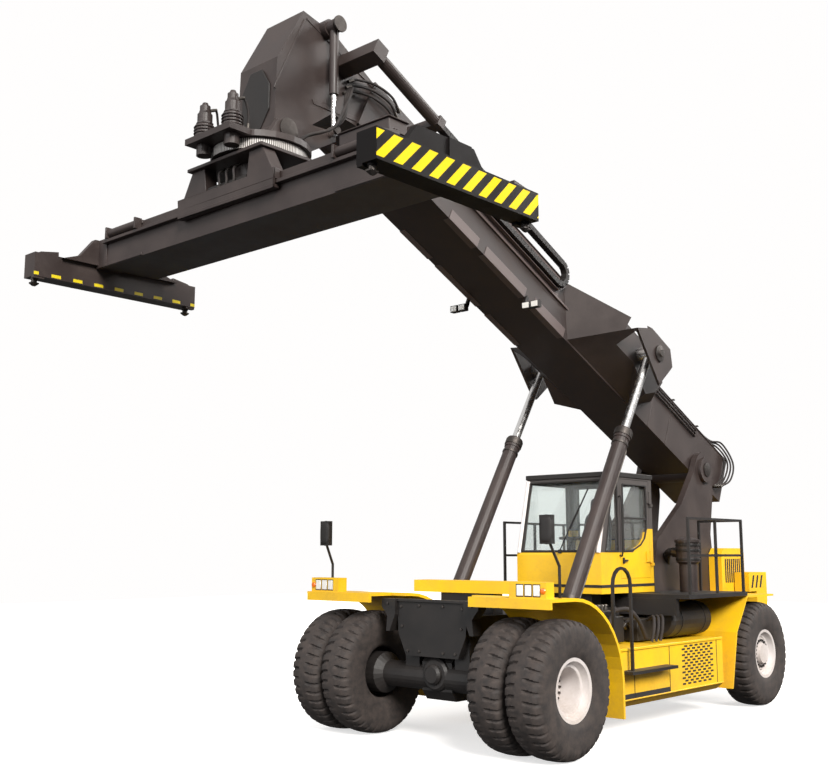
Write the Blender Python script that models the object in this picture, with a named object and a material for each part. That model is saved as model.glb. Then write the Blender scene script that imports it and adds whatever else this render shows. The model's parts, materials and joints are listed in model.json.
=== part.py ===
"""Reach stacker: a container handler with a telescopic boom and a 20 to 40 ft spreader, boom at 25 degrees.

Lengths are metres. Places are written from the front axle's centre on the ground, +X forward,
+Y to the driver's left, +Z up, and one empty moves the whole machine so that the middle of its
length stands at the origin. Boom pieces are drawn along the boom: u from the pivot to the head,
w square to it.
"""
import math

import bmesh
import bpy
from mathutils import Matrix, Vector

# ---- driving dimensions -------------------------------------------------------------------
WHEELBASE = 6.0
TYRE_RADIUS = 0.81
TYRE_WIDTH = 0.50
OUTER_TYRE_Y = 1.80
INNER_TYRE_Y = 1.24
REAR_TYRE_Y = 1.44
RIM_RADIUS = 0.33
KINGPIN_Y = 1.08

BOOM_HALF = 0.44
TOWER_PLATE = 0.10
TOWER_GAP = 0.02
FRAME_HALF = BOOM_HALF + TOWER_GAP + TOWER_PLATE
FRAME_BOTTOM = 1.00
FRAME_TOP = 1.60
FRAME_FRONT = 0.12
FENDER_FRONT = 0.50
FENDER_INSIDE = 0.84
FRONT_PLATE = 0.10
AXLE_ARCH = 1.25
MUDGUARD_RADIUS = 1.02
MUDGUARD_PLATE = 0.04
FENDER_HALF = 2.05
SKIRT_BOTTOM = 0.38
TANK_TOP = 1.14
TANK_OUTER = 1.60
DECK_TOP = 1.80
REAR_OVERHANG = 1.45
WEIGHT_LENGTH = 0.40
REAR_END = -(WHEELBASE + REAR_OVERHANG)
WEIGHT_FRONT = REAR_END + WEIGHT_LENGTH
WEIGHT_HALF = 1.08
WEIGHT_TOP = 2.07

CAB_FRONT = -2.65
CAB_REAR = -4.15
CAB_HALF = 0.75
CAB_BOTTOM = 1.81
CAB_SILL = 2.37
CAB_ROOF = 3.60
CAB_WALL = 0.05
DOOR_FRONT = -3.20
DOOR_REAR = -4.05
DOOR_BOTTOM = 2.02
DOOR_TOP = 3.50
HINGE_HEIGHTS = (2.25, 3.15)
HINGE_Y = CAB_HALF + 0.0207

BOOM_ANGLE = 25.0
PIVOT = (-6.30, 3.82)
PIVOT_PIN = 0.12
BOOM_WALL = 0.03
BOOM_LOW = -0.135
BOOM_HIGH = 0.69
BOOM_TAIL = -0.94
BOOM_FRONT = 8.10
INNER_GAP = 0.035
INNER_TAIL = 0.60
HEAD_HALF = 0.33

LIFT_Y = 1.00
LIFT_FOOT = (-1.21, 1.37)
LIFT_EYE = (2.982, 0.386)
BARREL_RADIUS = 0.115
ROD_RADIUS = 0.066
BARREL_LENGTH = 3.325
ROD_INNER_END = 1.465

TILT_PIN = (3.15, 7.14)
TILT_PIN_RADIUS = 0.07
YOKE_EAR = 0.08
DAMPER_Y = 0.48
DAMPER_TOP = (2.50, 8.62)
DAMPER_LOW = (2.50, 7.30)

SPREADER_X = 3.21
SLEW_RADIUS = 0.555
SLEW_TOP = 6.93
FRAME_BOX_HALF = 0.40
SPREADER_LOW = 5.98
SPREADER_HIGH = 6.42
SPREADER_BODY_HALF = 2.55
SPREADER_WALL = 0.035
END_BEAM_HALF = 1.20
END_BEAM_OUT = 3.05
END_BEAM_WIDTH = 0.25
END_BEAM_LOW = 5.77
END_BEAM_HIGH = 6.07
LOCK_X = 1.13
LOCK_Y = 2.927
PAD_LOW = END_BEAM_LOW - 0.025

SEAT_GAP = 0.0003
SLIDE_GAP = 0.0005
RUN_GAP = 0.005

SPREADER_FRONT = SPREADER_X + END_BEAM_HALF
MIDDLE_X = (SPREADER_FRONT + REAR_END) / 2

# ---- paints and metals: linear base colour, roughness, metallic ------------------------------
FINISHES = {
    "charcoal_paint": ((0.075, 0.062, 0.065), 0.45, 0.0),
    "yellow_paint": ((0.90, 0.52, 0.02), 0.35, 0.0),
    "black_paint": ((0.025, 0.024, 0.026), 0.45, 0.0),
    "tyre_rubber": ((0.055, 0.045, 0.045), 0.90, 0.0),
    "chrome": ((0.80, 0.80, 0.82), 0.12, 1.0),
    "window_glass": ((0.75, 0.82, 0.82), 0.05, 0.0),
    "cast_steel": ((0.12, 0.12, 0.12), 0.55, 1.0),
    "seat_cloth": ((0.03, 0.03, 0.035), 0.90, 0.0),
}


def clear_scene():
    for thing in list(bpy.data.objects):
        bpy.data.objects.remove(thing, do_unlink=True)


def make_finishes():
    finishes = {}
    for name, (colour, roughness, metallic) in FINISHES.items():
        material = bpy.data.materials.new(name)
        material.use_nodes = True
        shader = material.node_tree.nodes["Principled BSDF"]
        shader.inputs["Base Color"].default_value = (*colour, 1.0)
        shader.inputs["Roughness"].default_value = roughness
        shader.inputs["Metallic"].default_value = metallic
        finishes[name] = material
    return finishes


def empty(name, parent, location=(0, 0, 0), pitch_up=0.0):
    """An empty to hang pieces on; pitch_up turns its +X upwards, in degrees."""
    holder = bpy.data.objects.new(name, None)
    bpy.context.scene.collection.objects.link(holder)
    holder.parent = parent
    holder.location = location
    holder.rotation_euler = (0, -math.radians(pitch_up), 0)
    return holder


# ---- shapes: each returns a bmesh ----------------------------------------------------------
def prism(outline, axis, low, high):
    """Outline points pushed along an axis: (x, z) points for Y, (x, y) for Z, (y, z) for X."""
    def place(a, b, c):
        return {"X": (c, a, b), "Y": (a, c, b), "Z": (a, b, c)}[axis]

    bm = bmesh.new()
    rings = [[bm.verts.new(place(a, b, c)) for a, b in outline] for c in (low, high)]
    bm.faces.new(rings[0])
    bm.faces.new(rings[1])
    count = len(outline)
    for i in range(count):
        j = (i + 1) % count
        bm.faces.new((rings[0][i], rings[0][j], rings[1][j], rings[1][i]))
    bmesh.ops.recalc_face_normals(bm, faces=bm.faces)
    return bm


def box(x, y, z):
    """A box from three (low, high) pairs."""
    return prism([(x[0], y[0]), (x[1], y[0]), (x[1], y[1]), (x[0], y[1])], "Z", *z)


def loft(outline_a, ya, outline_b, yb):
    """A solid between two (x, z) outlines with as many points each, at two values of y."""
    bm = bmesh.new()
    rings = [[bm.verts.new((a, y, b)) for a, b in outline]
             for outline, y in ((outline_a, ya), (outline_b, yb))]
    count = len(outline_a)
    bm.faces.new(rings[0])
    bm.faces.new(rings[1])
    for i in range(count):
        j = (i + 1) % count
        bm.faces.new((rings[0][i], rings[0][j], rings[1][j]))
        bm.faces.new((rings[0][i], rings[1][j], rings[1][i]))
    bmesh.ops.recalc_face_normals(bm, faces=bm.faces)
    return bm


def turned(profile, axis, centre, segments=32):
    """(radius, station) points turned about an axis; the first and last radius are 0."""
    turn = {"X": lambda r, s, a: (s, r * math.cos(a), r * math.sin(a)),
            "Y": lambda r, s, a: (r * math.cos(a), s, r * math.sin(a)),
            "Z": lambda r, s, a: (r * math.cos(a), r * math.sin(a), s)}[axis]
    bm = bmesh.new()
    rows = []
    for radius, station in profile:
        count = segments if radius > 0 else 1
        rows.append([bm.verts.new(Vector(centre) + Vector(turn(radius, station, math.tau * k / segments)))
                     for k in range(count)])
    for first, second in zip(rows, rows[1:]):
        for k in range(segments):
            m = (k + 1) % segments
            corners = [first[k % len(first)], first[m % len(first)],
                       second[m % len(second)], second[k % len(second)]]
            unique = list(dict.fromkeys(corners))
            bm.faces.new(unique)
    bmesh.ops.recalc_face_normals(bm, faces=bm.faces)
    return bm


def rod(start, end, radius, segments=16):
    """A round bar between two points."""
    start, end = Vector(start), Vector(end)
    bm = bmesh.new()
    along = end - start
    turn = along.to_track_quat("Z", "Y").to_matrix().to_4x4()
    place = Matrix.Translation((start + end) / 2) @ turn
    bmesh.ops.create_cone(bm, cap_ends=True, segments=segments, radius1=radius, radius2=radius,
                          depth=along.length, matrix=place)
    return bm


def arc(centre, radius, start, end, steps):
    """Points of an arc, angles in degrees."""
    return [(centre[0] + radius * math.cos(math.radians(start + (end - start) * k / steps)),
             centre[1] + radius * math.sin(math.radians(start + (end - start) * k / steps)))
            for k in range(steps + 1)]


def mirrored(bm):
    """The same shape on the other side of the machine."""
    bmesh.ops.scale(bm, vec=(1, -1, 1), verts=bm.verts)
    bmesh.ops.reverse_faces(bm, faces=bm.faces)
    return bm


def hang(name, bm, parent):
    mesh = bpy.data.meshes.new(name)
    bm.to_mesh(mesh)
    bm.free()
    thing = bpy.data.objects.new(name, mesh)
    bpy.context.scene.collection.objects.link(thing)
    thing.parent = parent
    return thing


def piece(name, finish, parent, first, add=(), cut=(), side=1, smooth=False):
    """One node: the first shape joined with those in add, less those in cut."""
    shapes = [first, *add, *cut]
    if side < 0:
        shapes = [mirrored(shape) for shape in shapes]
    node = hang(name, shapes[0], parent)
    node.data.materials.append(FINISH[finish])
    for k, shape in enumerate(shapes[1:]):
        helper = hang(f"{name}_helper_{k}", shape, parent)
        helper.hide_render = True
        helper.display_type = "WIRE"
        joiner = node.modifiers.new(f"step_{k}", "BOOLEAN")
        joiner.operation = "UNION" if k < len(add) else "DIFFERENCE"
        joiner.object = helper
    if smooth:
        node.data.shade_smooth()
        node.data.set_sharp_from_angle(angle=math.radians(35))
    return node


# ---- chassis -------------------------------------------------------------------------------
def chassis_frame(root):
    """The box frame, with the lift cylinders' foot brackets and the seats of cab and deck."""
    outline = [(FRAME_FRONT, AXLE_ARCH), (-0.45, AXLE_ARCH), (-0.62, FRAME_BOTTOM),
               (WEIGHT_FRONT + SEAT_GAP, FRAME_BOTTOM), (WEIGHT_FRONT + SEAT_GAP, FRAME_TOP),
               (FRAME_FRONT, FRAME_TOP)]
    foot_x, foot_z = LIFT_FOOT
    sunk = 0.05
    add = [box((foot_x - 0.16, foot_x + 0.12), (-LIFT_Y - 0.165, LIFT_Y + 0.165),
               (FRAME_BOTTOM, FRAME_BOTTOM + 0.20)),
           box((CAB_REAR + 0.15, CAB_REAR + 0.40), (-0.45, 0.45), (FRAME_TOP - sunk, CAB_BOTTOM - SEAT_GAP)),
           box((CAB_FRONT - 0.45, CAB_FRONT - 0.20), (-0.45, 0.45), (FRAME_TOP - sunk, CAB_BOTTOM - SEAT_GAP)),
           box((-0.70, -0.50), (-0.45, 0.45), (FRAME_TOP - sunk, 1.87 - SEAT_GAP)),
           box((-3.52, -3.42), (-1.50, 1.50), (1.50, DECK_TOP - 0.06 - SEAT_GAP))]
    for side in (-1, 1):
        for inner in (LIFT_Y - 0.165, LIFT_Y + 0.1205):
            faces = sorted((side * inner, side * (inner + 0.0445)))
            add.append(box((foot_x - 0.16, foot_x + 0.12), faces,
                           (FRAME_BOTTOM + 0.10, foot_z + 0.13)))
    piece("chassis_frame", "black_paint", root, prism(outline, "Y", -FRAME_HALF, FRAME_HALF), add)


def front_axle(root):
    """Drive axle: tubes, the bowl of the differential with its round nose, and the hub ends in the twin wheels."""
    end = INNER_TYRE_Y + 0.06 - SEAT_GAP
    housing = turned([(0, -end), (0.27, -end), (0.27, -0.98), (0.17, -0.90), (0.17, 0.90), (0.27, 0.98), (0.27, end),
                      (0, end)], "Y", (0, 0, TYRE_RADIUS), 24)
    hub = TYRE_RADIUS
    bowl = prism([(-0.32, hub - 0.14), (-0.18, hub - 0.28), (0.02, hub - 0.28), (0.11, hub - 0.16), (0.11, hub + 0.20),
                  (0.02, hub + 0.29), (-0.18, hub + 0.29), (-0.32, hub + 0.16)], "Y", -0.25, 0.25)
    nose = turned([(0, 0.06), (0.21, 0.06), (0.21, 0.14), (0.18, 0.17), (0.13, 0.17), (0.13, 0.20), (0.10, 0.23),
                   (0, 0.23)], "X", (0, 0, hub + 0.05), 24)
    seats = [box((-0.20, 0.11), sorted((s * 0.30, s * 0.54)), (hub - 0.01, AXLE_ARCH - SEAT_GAP)) for s in (-1, 1)]
    piece("front_axle", "black_paint", root, housing, [*seats, bowl, nose], smooth=True)


def front_plate(root):
    """Plate across the frame's front end, with a shaped ear at each side below the mudguards' inner ends."""
    rear = FRAME_FRONT + SEAT_GAP
    outline = [(-0.44, 1.08), (0.44, 1.08), (0.57, 1.36), (0.60, 1.80), (-0.60, 1.80), (-0.57, 1.36)]
    ears = []
    for side in (-1, 1):
        ear = [(side * 0.58, 1.60), (side * 0.68, 1.38), (side * 0.74, 1.38), (side * 0.72, 1.58),
               (side * 0.82, 1.70), (side * 0.82, 1.80), (side * 0.58, 1.80)]
        ears.append(prism(ear, "X", rear, FRAME_FRONT + FRONT_PLATE + 0.06))
    piece("front_plate", "black_paint", root, prism(outline, "X", rear, FRAME_FRONT + FRONT_PLATE), ears)


def fender(root, side, name):
    """Front plate, mudguard round the twin wheels and the lamp box on its outer corner."""
    outer = MUDGUARD_RADIUS + MUDGUARD_PLATE
    top = TYRE_RADIUS + outer
    centre = (0, TYRE_RADIUS)
    outline = [(FENDER_FRONT, top), *arc(centre, outer, 90, 180, 10), (-outer, SKIRT_BOTTOM),
               (-MUDGUARD_RADIUS, SKIRT_BOTTOM), *arc(centre, MUDGUARD_RADIUS, 180, 90, 10),
               (FENDER_FRONT - MUDGUARD_PLATE, top - MUDGUARD_PLATE), (FENDER_FRONT - MUDGUARD_PLATE, top - 0.12),
               (FENDER_FRONT, top - 0.12)]
    lamp = box((FENDER_FRONT - 0.18, FENDER_FRONT - 0.02), (1.45, 1.98), (top - 0.01, top + 0.19))
    piece(f"fender_{name}", "yellow_paint", root,
          prism(outline, "Y", FRAME_HALF + SEAT_GAP, FENDER_HALF), [lamp],
          [box((FRAME_FRONT - 0.04, FENDER_FRONT + 0.1), (FRAME_HALF - 0.1, FENDER_INSIDE), (top - 0.3, top + 0.1))], side=side)


def side_tank(root, side, name):
    """Fuel or oil tank behind the front mudguard, its outer wall the machine's side panel."""
    outline = [(FRAME_HALF + SEAT_GAP, SKIRT_BOTTOM + 0.10), (TANK_OUTER - 0.12, SKIRT_BOTTOM),
               (TANK_OUTER, SKIRT_BOTTOM + 0.10), (TANK_OUTER, TANK_TOP), (FRAME_HALF + SEAT_GAP, TANK_TOP)]
    piece(f"side_tank_{name}", "yellow_paint", root, prism(outline, "X", -4.62, -1.42), side=side)


def rear_guard(root, side, name):
    """Slanted guard in front of the rear wheel, running on over it as a flat plate."""
    plate = 0.03
    line = [(-4.72, SKIRT_BOTTOM), (-4.93, 1.20), (-5.37, DECK_TOP - 0.06)]
    back = [(x - plate, z) for x, z in line[:2]] + [(-5.37, DECK_TOP - 0.06 - plate)]
    outline = [*line, (-6.32, DECK_TOP - 0.06), (-6.32, DECK_TOP - 0.06 - plate), *reversed(back)]
    piece(f"rear_guard_{name}", "yellow_paint", root,
          prism(outline, "Y", FRAME_HALF + SEAT_GAP, 1.69), side=side)


def walkway(root, side, name):
    """Side platform with its hand railing."""
    low = DECK_TOP - 0.06 + SEAT_GAP
    y, front, back, inside = 1.67, -3.55, -5.28, 0.95
    half = 0.018
    posts = [box((x - half, x + half), (yy - half, yy + half), (DECK_TOP - 0.02, 2.90))
             for x, yy in ((front, y), (-4.40, y), (back, y), (back, inside))]
    rails = []
    for z in (2.36, 2.90):
        rails.append(box((back - half, front + half), (y - half + 0.002, y + half - 0.002), (z - half, z + half)))
        rails.append(box((back - half + 0.002, back + half - 0.002), (inside - half, y), (z - half, z + half)))
    piece(f"walkway_{name}", "black_paint", root,
          box((-5.35, -3.45), (0.60, 1.70), (low, DECK_TOP)), [*posts, *rails], side=side)


def access_steps(root):
    """Step plate on the left tank and the arched handrail beside it."""
    y, half = 1.69, 0.018
    plate = box((-2.90, -1.70), (TANK_OUTER + SEAT_GAP, 1.79), (0.83, 0.87))
    bend = (-1.64, 1.98)
    outline = [(-1.42 + half, 1.30), *arc(bend, 0.22 + half, 0, 180, 8), (-1.86 - half, 0.85),
               (-1.86 + half, 0.85), *arc(bend, 0.22 - half, 180, 0, 8), (-1.42 - half, 1.30)]
    piece("access_steps", "black_paint", root, plate, [prism(outline, "Y", y - half, y + half)])


def mirror(root, side, name):
    """Round-cornered mirror on its bent stalk, standing on the fender."""
    top = TYRE_RADIUS + MUDGUARD_RADIUS + MUDGUARD_PLATE
    stalk = [rod((0.13, 1.93, top + SEAT_GAP), (0.13, 1.93, 2.25), 0.018, 8),
             rod((0.13, 1.93, 2.24), (0.30, 1.90, 2.55), 0.018, 8)]
    head = box((0.27, 0.34), (1.80, 1.97), (2.50, 2.84))
    piece(f"mirror_{name}", "black_paint", root, head, stalk, side=side)


def deck_beam(root):
    piece("deck_beam", "yellow_paint", root, box((-0.75, -0.45), (-0.90, 0.90), (1.87, 2.03)))


def boom_tower(root):
    """Two plates that carry the boom's pivot, joined by a low web."""
    px, pz = PIVOT
    outline = [(-4.50, FRAME_TOP + SEAT_GAP), (-4.50, 2.10), (-4.62, 2.60), (-5.46, 3.20), (px + 0.36, pz - 0.05),
               *arc(PIVOT, 0.30, 35, 145, 5), (px - 0.30, pz - 0.40), (px - 0.16, pz - 1.10),
               (px - 0.30, FRAME_TOP + SEAT_GAP)]
    inner = FRAME_HALF - TOWER_PLATE
    left = prism(outline, "Y", inner, FRAME_HALF)
    right = prism(outline, "Y", -FRAME_HALF, -inner)
    web = box((-4.60, -4.50), (-inner - 0.02, inner + 0.02), (FRAME_TOP + SEAT_GAP, 2.40))
    bosses = [rod((px, s * FRAME_HALF - s * 0.02, pz), (px, s * (FRAME_HALF + 0.06), pz), 0.22, 32) for s in (-1, 1)]
    bore = rod((px, -1, pz), (px, 1, pz), PIVOT_PIN + 0.002, 32)
    piece("boom_tower", "charcoal_paint", root, left, [web, right, *bosses], [bore])


def engine(root):
    piece("engine_block", "cast_steel", root, box((-6.25, -4.90), (-0.40, 0.40), (FRAME_TOP + SEAT_GAP, 2.30)))
    behind = WEIGHT_FRONT + 0.01
    outline = [(behind, FRAME_TOP + SEAT_GAP), (-6.34, FRAME_TOP + SEAT_GAP), (-6.34, 2.38), (-6.44, 2.48),
               (-7.10, 2.48), (-7.20, 2.40), (-7.20, 1.77), (behind, 1.77)]
    around_tower = box((PIVOT[0] - 0.32, -6.20), (-FRAME_HALF - 0.01, FRAME_HALF + 0.01), (1.50, 3.00))
    piece("engine_hood", "yellow_paint", root, prism(outline, "Y", -0.80, 0.80), (), [around_tower])


def counterweight(root):
    low = [(REAR_END + 0.08, 0.70), (WEIGHT_FRONT, 0.70), (WEIGHT_FRONT, 1.76), (REAR_END, 1.76), (REAR_END, 0.85)]
    horns = [box((REAR_END, -6.76), sorted((s * 0.82, s * WEIGHT_HALF)), (1.75, WEIGHT_TOP)) for s in (-1, 1)]
    rear = box((REAR_END, -7.22), (-0.95, 0.95), (1.75, WEIGHT_TOP))
    piece("counterweight", "yellow_paint", root,
          prism(low, "Y", -WEIGHT_HALF, WEIGHT_HALF), [*horns, rear])


def muffler_and_air_cleaner(root):
    drum = turned([(0, -4.75), (0.20, -4.75), (0.25, -4.70), (0.25, -3.60), (0.20, -3.55), (0, -3.55)],
                  "X", (0, 1.15, 1.42), 24)
    bracket = box((-4.20, -4.05), (FRAME_HALF + SEAT_GAP, 1.05), (1.35, 1.50))
    piece("exhaust_muffler", "black_paint", root, drum, [bracket], smooth=True)
    cleaner = turned([(0, DECK_TOP + SEAT_GAP), (0.14, DECK_TOP + SEAT_GAP), (0.14, 2.22), (0.18, 2.26), (0.18, 2.56),
                      (0.20, 2.56), (0.20, 2.60), (0.08, 2.64), (0, 2.64)], "Z", (-4.75, 1.02, 0), 24)
    piece("air_cleaner", "charcoal_paint", root, cleaner, smooth=True)


# ---- cab -----------------------------------------------------------------------------------
def cab_outline(inset, low, high):
    """The cab's side outline, moved inwards by inset, from low to high: the windscreen leans back."""
    lean = 0.30 / (CAB_ROOF - 0.02 - CAB_SILL)
    front = CAB_FRONT - inset
    slope = [(front - lean * (high - CAB_SILL) - 0.01, high)]
    if low < CAB_SILL:
        slope = [(front, low), (front, CAB_SILL), *slope]
    else:
        slope = [(front - lean * (low - CAB_SILL) - 0.01, low), *slope]
    return [(CAB_REAR + inset, low), *slope, (CAB_REAR + inset, high)]


def cab(root):
    inner = CAB_HALF - CAB_WALL
    shell = prism(cab_outline(0, CAB_BOTTOM, CAB_ROOF), "Y", -CAB_HALF, CAB_HALF)
    room = prism(cab_outline(CAB_WALL, CAB_BOTTOM + 0.08, CAB_ROOF - CAB_WALL), "Y", -inner, inner)
    cuts = [room,
            box((CAB_FRONT - 0.40, CAB_FRONT + 0.20), (-0.67, 0.67), (2.42, 3.47)),
            box((CAB_REAR - 0.20, CAB_REAR + 0.12), (-0.60, 0.60), (2.60, 3.45)),
            prism([(-4.03, 2.42), (-2.77, 2.42), (-3.01, 3.47), (-4.03, 3.47)], "Y", -CAB_HALF - 0.1, -inner + 0.1),
            prism([(-3.13, 2.42), (-2.77, 2.42), (-3.01, 3.47), (-3.13, 3.47)], "Y", inner - 0.1, CAB_HALF + 0.1),
            box((DOOR_REAR, DOOR_FRONT), (inner - 0.1, CAB_HALF + 0.1), (DOOR_BOTTOM, DOOR_TOP))]
    lugs = []
    hinge_x = DOOR_REAR + RUN_GAP
    for z in HINGE_HEIGHTS:
        lugs.append(rod((hinge_x, HINGE_Y, z - 0.05), (hinge_x, HINGE_Y, z - SLIDE_GAP), 0.02, 16))
        lugs.append(box((DOOR_REAR - 0.10, hinge_x), (CAB_HALF + 0.003, CAB_HALF + 0.02), (z - 0.045, z - 0.005)))
        lugs.append(box((DOOR_REAR - 0.09, DOOR_REAR - 0.02), (CAB_HALF - 0.01, CAB_HALF + 0.018),
                        (z - 0.044, z - 0.006)))
    piece("cab_shell", "yellow_paint", root, shell, lugs, cuts)
    pane = 0.01
    outside = prism(cab_outline(CAB_WALL + SEAT_GAP, 2.39, CAB_ROOF - CAB_WALL - 0.02), "Y",
                    -inner + SEAT_GAP, inner - SEAT_GAP)
    inside = prism(cab_outline(CAB_WALL + SEAT_GAP + pane, 2.00, CAB_ROOF + 0.20), "Y",
                   -inner + SEAT_GAP + pane, inner - SEAT_GAP - pane)
    doorway = box((CAB_REAR - 0.10, DOOR_FRONT + 0.03), (inner - 0.05, CAB_HALF), (2.0, 4.0))
    piece("cab_glass", "window_glass", root, outside, (), [inside, doorway])


def cab_door(root):
    """Rear-hinged door: its yellow lower panel sweeps up to the rear post."""
    back, front = DOOR_REAR + RUN_GAP, DOOR_FRONT - RUN_GAP
    inner = CAB_HALF - CAB_WALL + RUN_GAP
    leaf = box((back, front), (inner, CAB_HALF), (DOOR_BOTTOM + RUN_GAP, DOOR_TOP - RUN_GAP))
    window = prism([(front - 0.08, 2.42), (-3.55, 2.44), (-3.78, 2.52), (-3.90, 2.62), (back + 0.08, 2.78),
                    (back + 0.08, DOOR_TOP - 0.08), (front - 0.08, DOOR_TOP - 0.08)], "Y", inner - 0.1, CAB_HALF + 0.1)
    hinges = []
    for z in HINGE_HEIGHTS:
        hinges.append(rod((back, HINGE_Y, z), (back, HINGE_Y, z + 0.18), 0.02, 16))
        hinges.append(box((back, back + 0.12), (CAB_HALF - 0.01, CAB_HALF + 0.02), (z + 0.01, z + 0.17)))
    piece("cab_door", "yellow_paint", root, leaf, hinges, [window])
    piece("door_glass", "window_glass", root,
          box((back + 0.06, front - 0.06), (inner - 0.0103, inner - SEAT_GAP), (2.38, DOOR_TOP - 0.06)))


def cab_fittings(root):
    floor = CAB_BOTTOM + 0.08 + SEAT_GAP
    base = box((-3.72, -3.28), (-0.20, 0.20), (floor, 2.22))
    cushion = box((-3.78, -3.20), (-0.26, 0.26), (2.20, 2.36))
    back = prism([(-3.80, 2.28), (-3.62, 2.28), (-3.76, 3.05), (-3.88, 3.05)], "Y", -0.25, 0.25)
    piece("driver_seat", "seat_cloth", root, base, [cushion, back])
    column = rod((-2.98, 0, 1.95), (-3.04, 0, 2.62), 0.06, 12)
    foot = box((-3.10, -2.86), (-0.14, 0.14), (floor, 1.99))
    wheel = turned([(0, 2.58), (0.19, 2.60), (0.20, 2.62), (0.19, 2.64), (0, 2.63)], "Z", (-3.04, 0, 0), 24)
    piece("steering_column", "black_paint", root, foot, [column, wheel])


# ---- wheels and steering ---------------------------------------------------------------------
def tyre_profile(middle):
    """Tyre and rim outline from its inner rim edge to its outer one, (radius, y)."""
    half = TYRE_WIDTH / 2
    shape = [(RIM_RADIUS, -0.19), (0.40, -0.21), (0.60, -half), (0.74, -half + 0.01), (TYRE_RADIUS, -half + 0.06),
             (TYRE_RADIUS, half - 0.06), (0.74, half - 0.01), (0.60, half), (0.40, 0.21)]
    return [(radius, middle + y) for radius, y in shape]


def wheels(root, knuckles):
    for side, name in ((1, "left"), (-1, "right")):
        seat = INNER_TYRE_Y + 0.06
        outer_rim = OUTER_TYRE_Y + 0.19
        twin = [(0, seat), (RIM_RADIUS, seat), *tyre_profile(INNER_TYRE_Y), (0.36, INNER_TYRE_Y + 0.21),
                (0.36, OUTER_TYRE_Y - 0.21), *tyre_profile(OUTER_TYRE_Y)[1:], (RIM_RADIUS, outer_rim),
                (RIM_RADIUS - 0.02, outer_rim - 0.26), (0.18, outer_rim - 0.26), (0.16, outer_rim - 0.12),
                (0, outer_rim - 0.12)]
        piece(f"wheel_front_{name}", "tyre_rubber", root, turned(twin, "Y", (0, 0, TYRE_RADIUS)),
              side=side, smooth=True)
        seat = REAR_TYRE_Y - 0.02
        single = [(0, seat), (RIM_RADIUS, seat), *tyre_profile(REAR_TYRE_Y), (RIM_RADIUS, REAR_TYRE_Y + 0.19),
                  (RIM_RADIUS - 0.02, REAR_TYRE_Y + 0.11), (0.16, REAR_TYRE_Y + 0.11), (0.14, REAR_TYRE_Y + 0.20),
                  (0, REAR_TYRE_Y + 0.20)]
        piece(f"wheel_rear_{name}", "tyre_rubber", knuckles[name], turned(single, "Y", (0, -side * KINGPIN_Y, 0)
              if side > 0 else (0, -KINGPIN_Y, 0)), side=side, smooth=True)


def rear_axle(root):
    """Steering axle: a beam under the frame with a fork for each knuckle."""
    centre = (-WHEELBASE, TYRE_RADIUS)
    beam = box((centre[0] - 0.14, centre[0] + 0.14), (-0.96, 0.96), (centre[1] - 0.15, centre[1] + 0.15))
    saddle = box((centre[0] - 0.22, centre[0] + 0.22), (-0.30, 0.30), (centre[1], FRAME_BOTTOM - SEAT_GAP))
    forks = []
    for s in (-1, 1):
        for low, high in ((-0.35, -0.2605), (0.2605, 0.35)):
            forks.append(rod((centre[0], s * KINGPIN_Y, centre[1] + low), (centre[0], s * KINGPIN_Y, centre[1] + high),
                             0.12, 24))
            forks.append(box((centre[0] - 0.10, centre[0] + 0.10), sorted((s * 0.85, s * KINGPIN_Y)),
                             (centre[1] + low, centre[1] + high)))
        forks.append(box((centre[0] - 0.12, centre[0] + 0.12), sorted((s * 0.80, s * 0.955)),
                         (centre[1] - 0.34, centre[1] + 0.34)))
    piece("rear_axle", "black_paint", root, beam, [saddle, *forks])


def knuckle(root, side, name):
    """Steering knuckle on its kingpin, with the spindle that carries the rear wheel."""
    holder = empty(f"kingpin_{name}", root, (-WHEELBASE, side * KINGPIN_Y, TYRE_RADIUS))
    spindle = rod((0, 0, 0), (0, REAR_TYRE_Y - 0.02 - KINGPIN_Y - SEAT_GAP, 0), 0.09, 24)
    piece(f"knuckle_{name}", "cast_steel", holder, rod((0, 0, -0.26), (0, 0, 0.26), 0.11, 24), [spindle],
          side=side, smooth=True)
    return holder


# ---- boom ----------------------------------------------------------------------------------
WING_ROOT = [(4.31, -0.12), (4.75, 0.67), (2.00, 0.67), (1.80, 0.30), (2.39, -0.12)]
WING_TIP = [(3.68, 0.40), (3.30, 0.64), (2.71, 0.64), (2.55, 0.41), (2.80, -0.06)]
WING_OUT = 1.19
SLOT_HALF = 0.145


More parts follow.
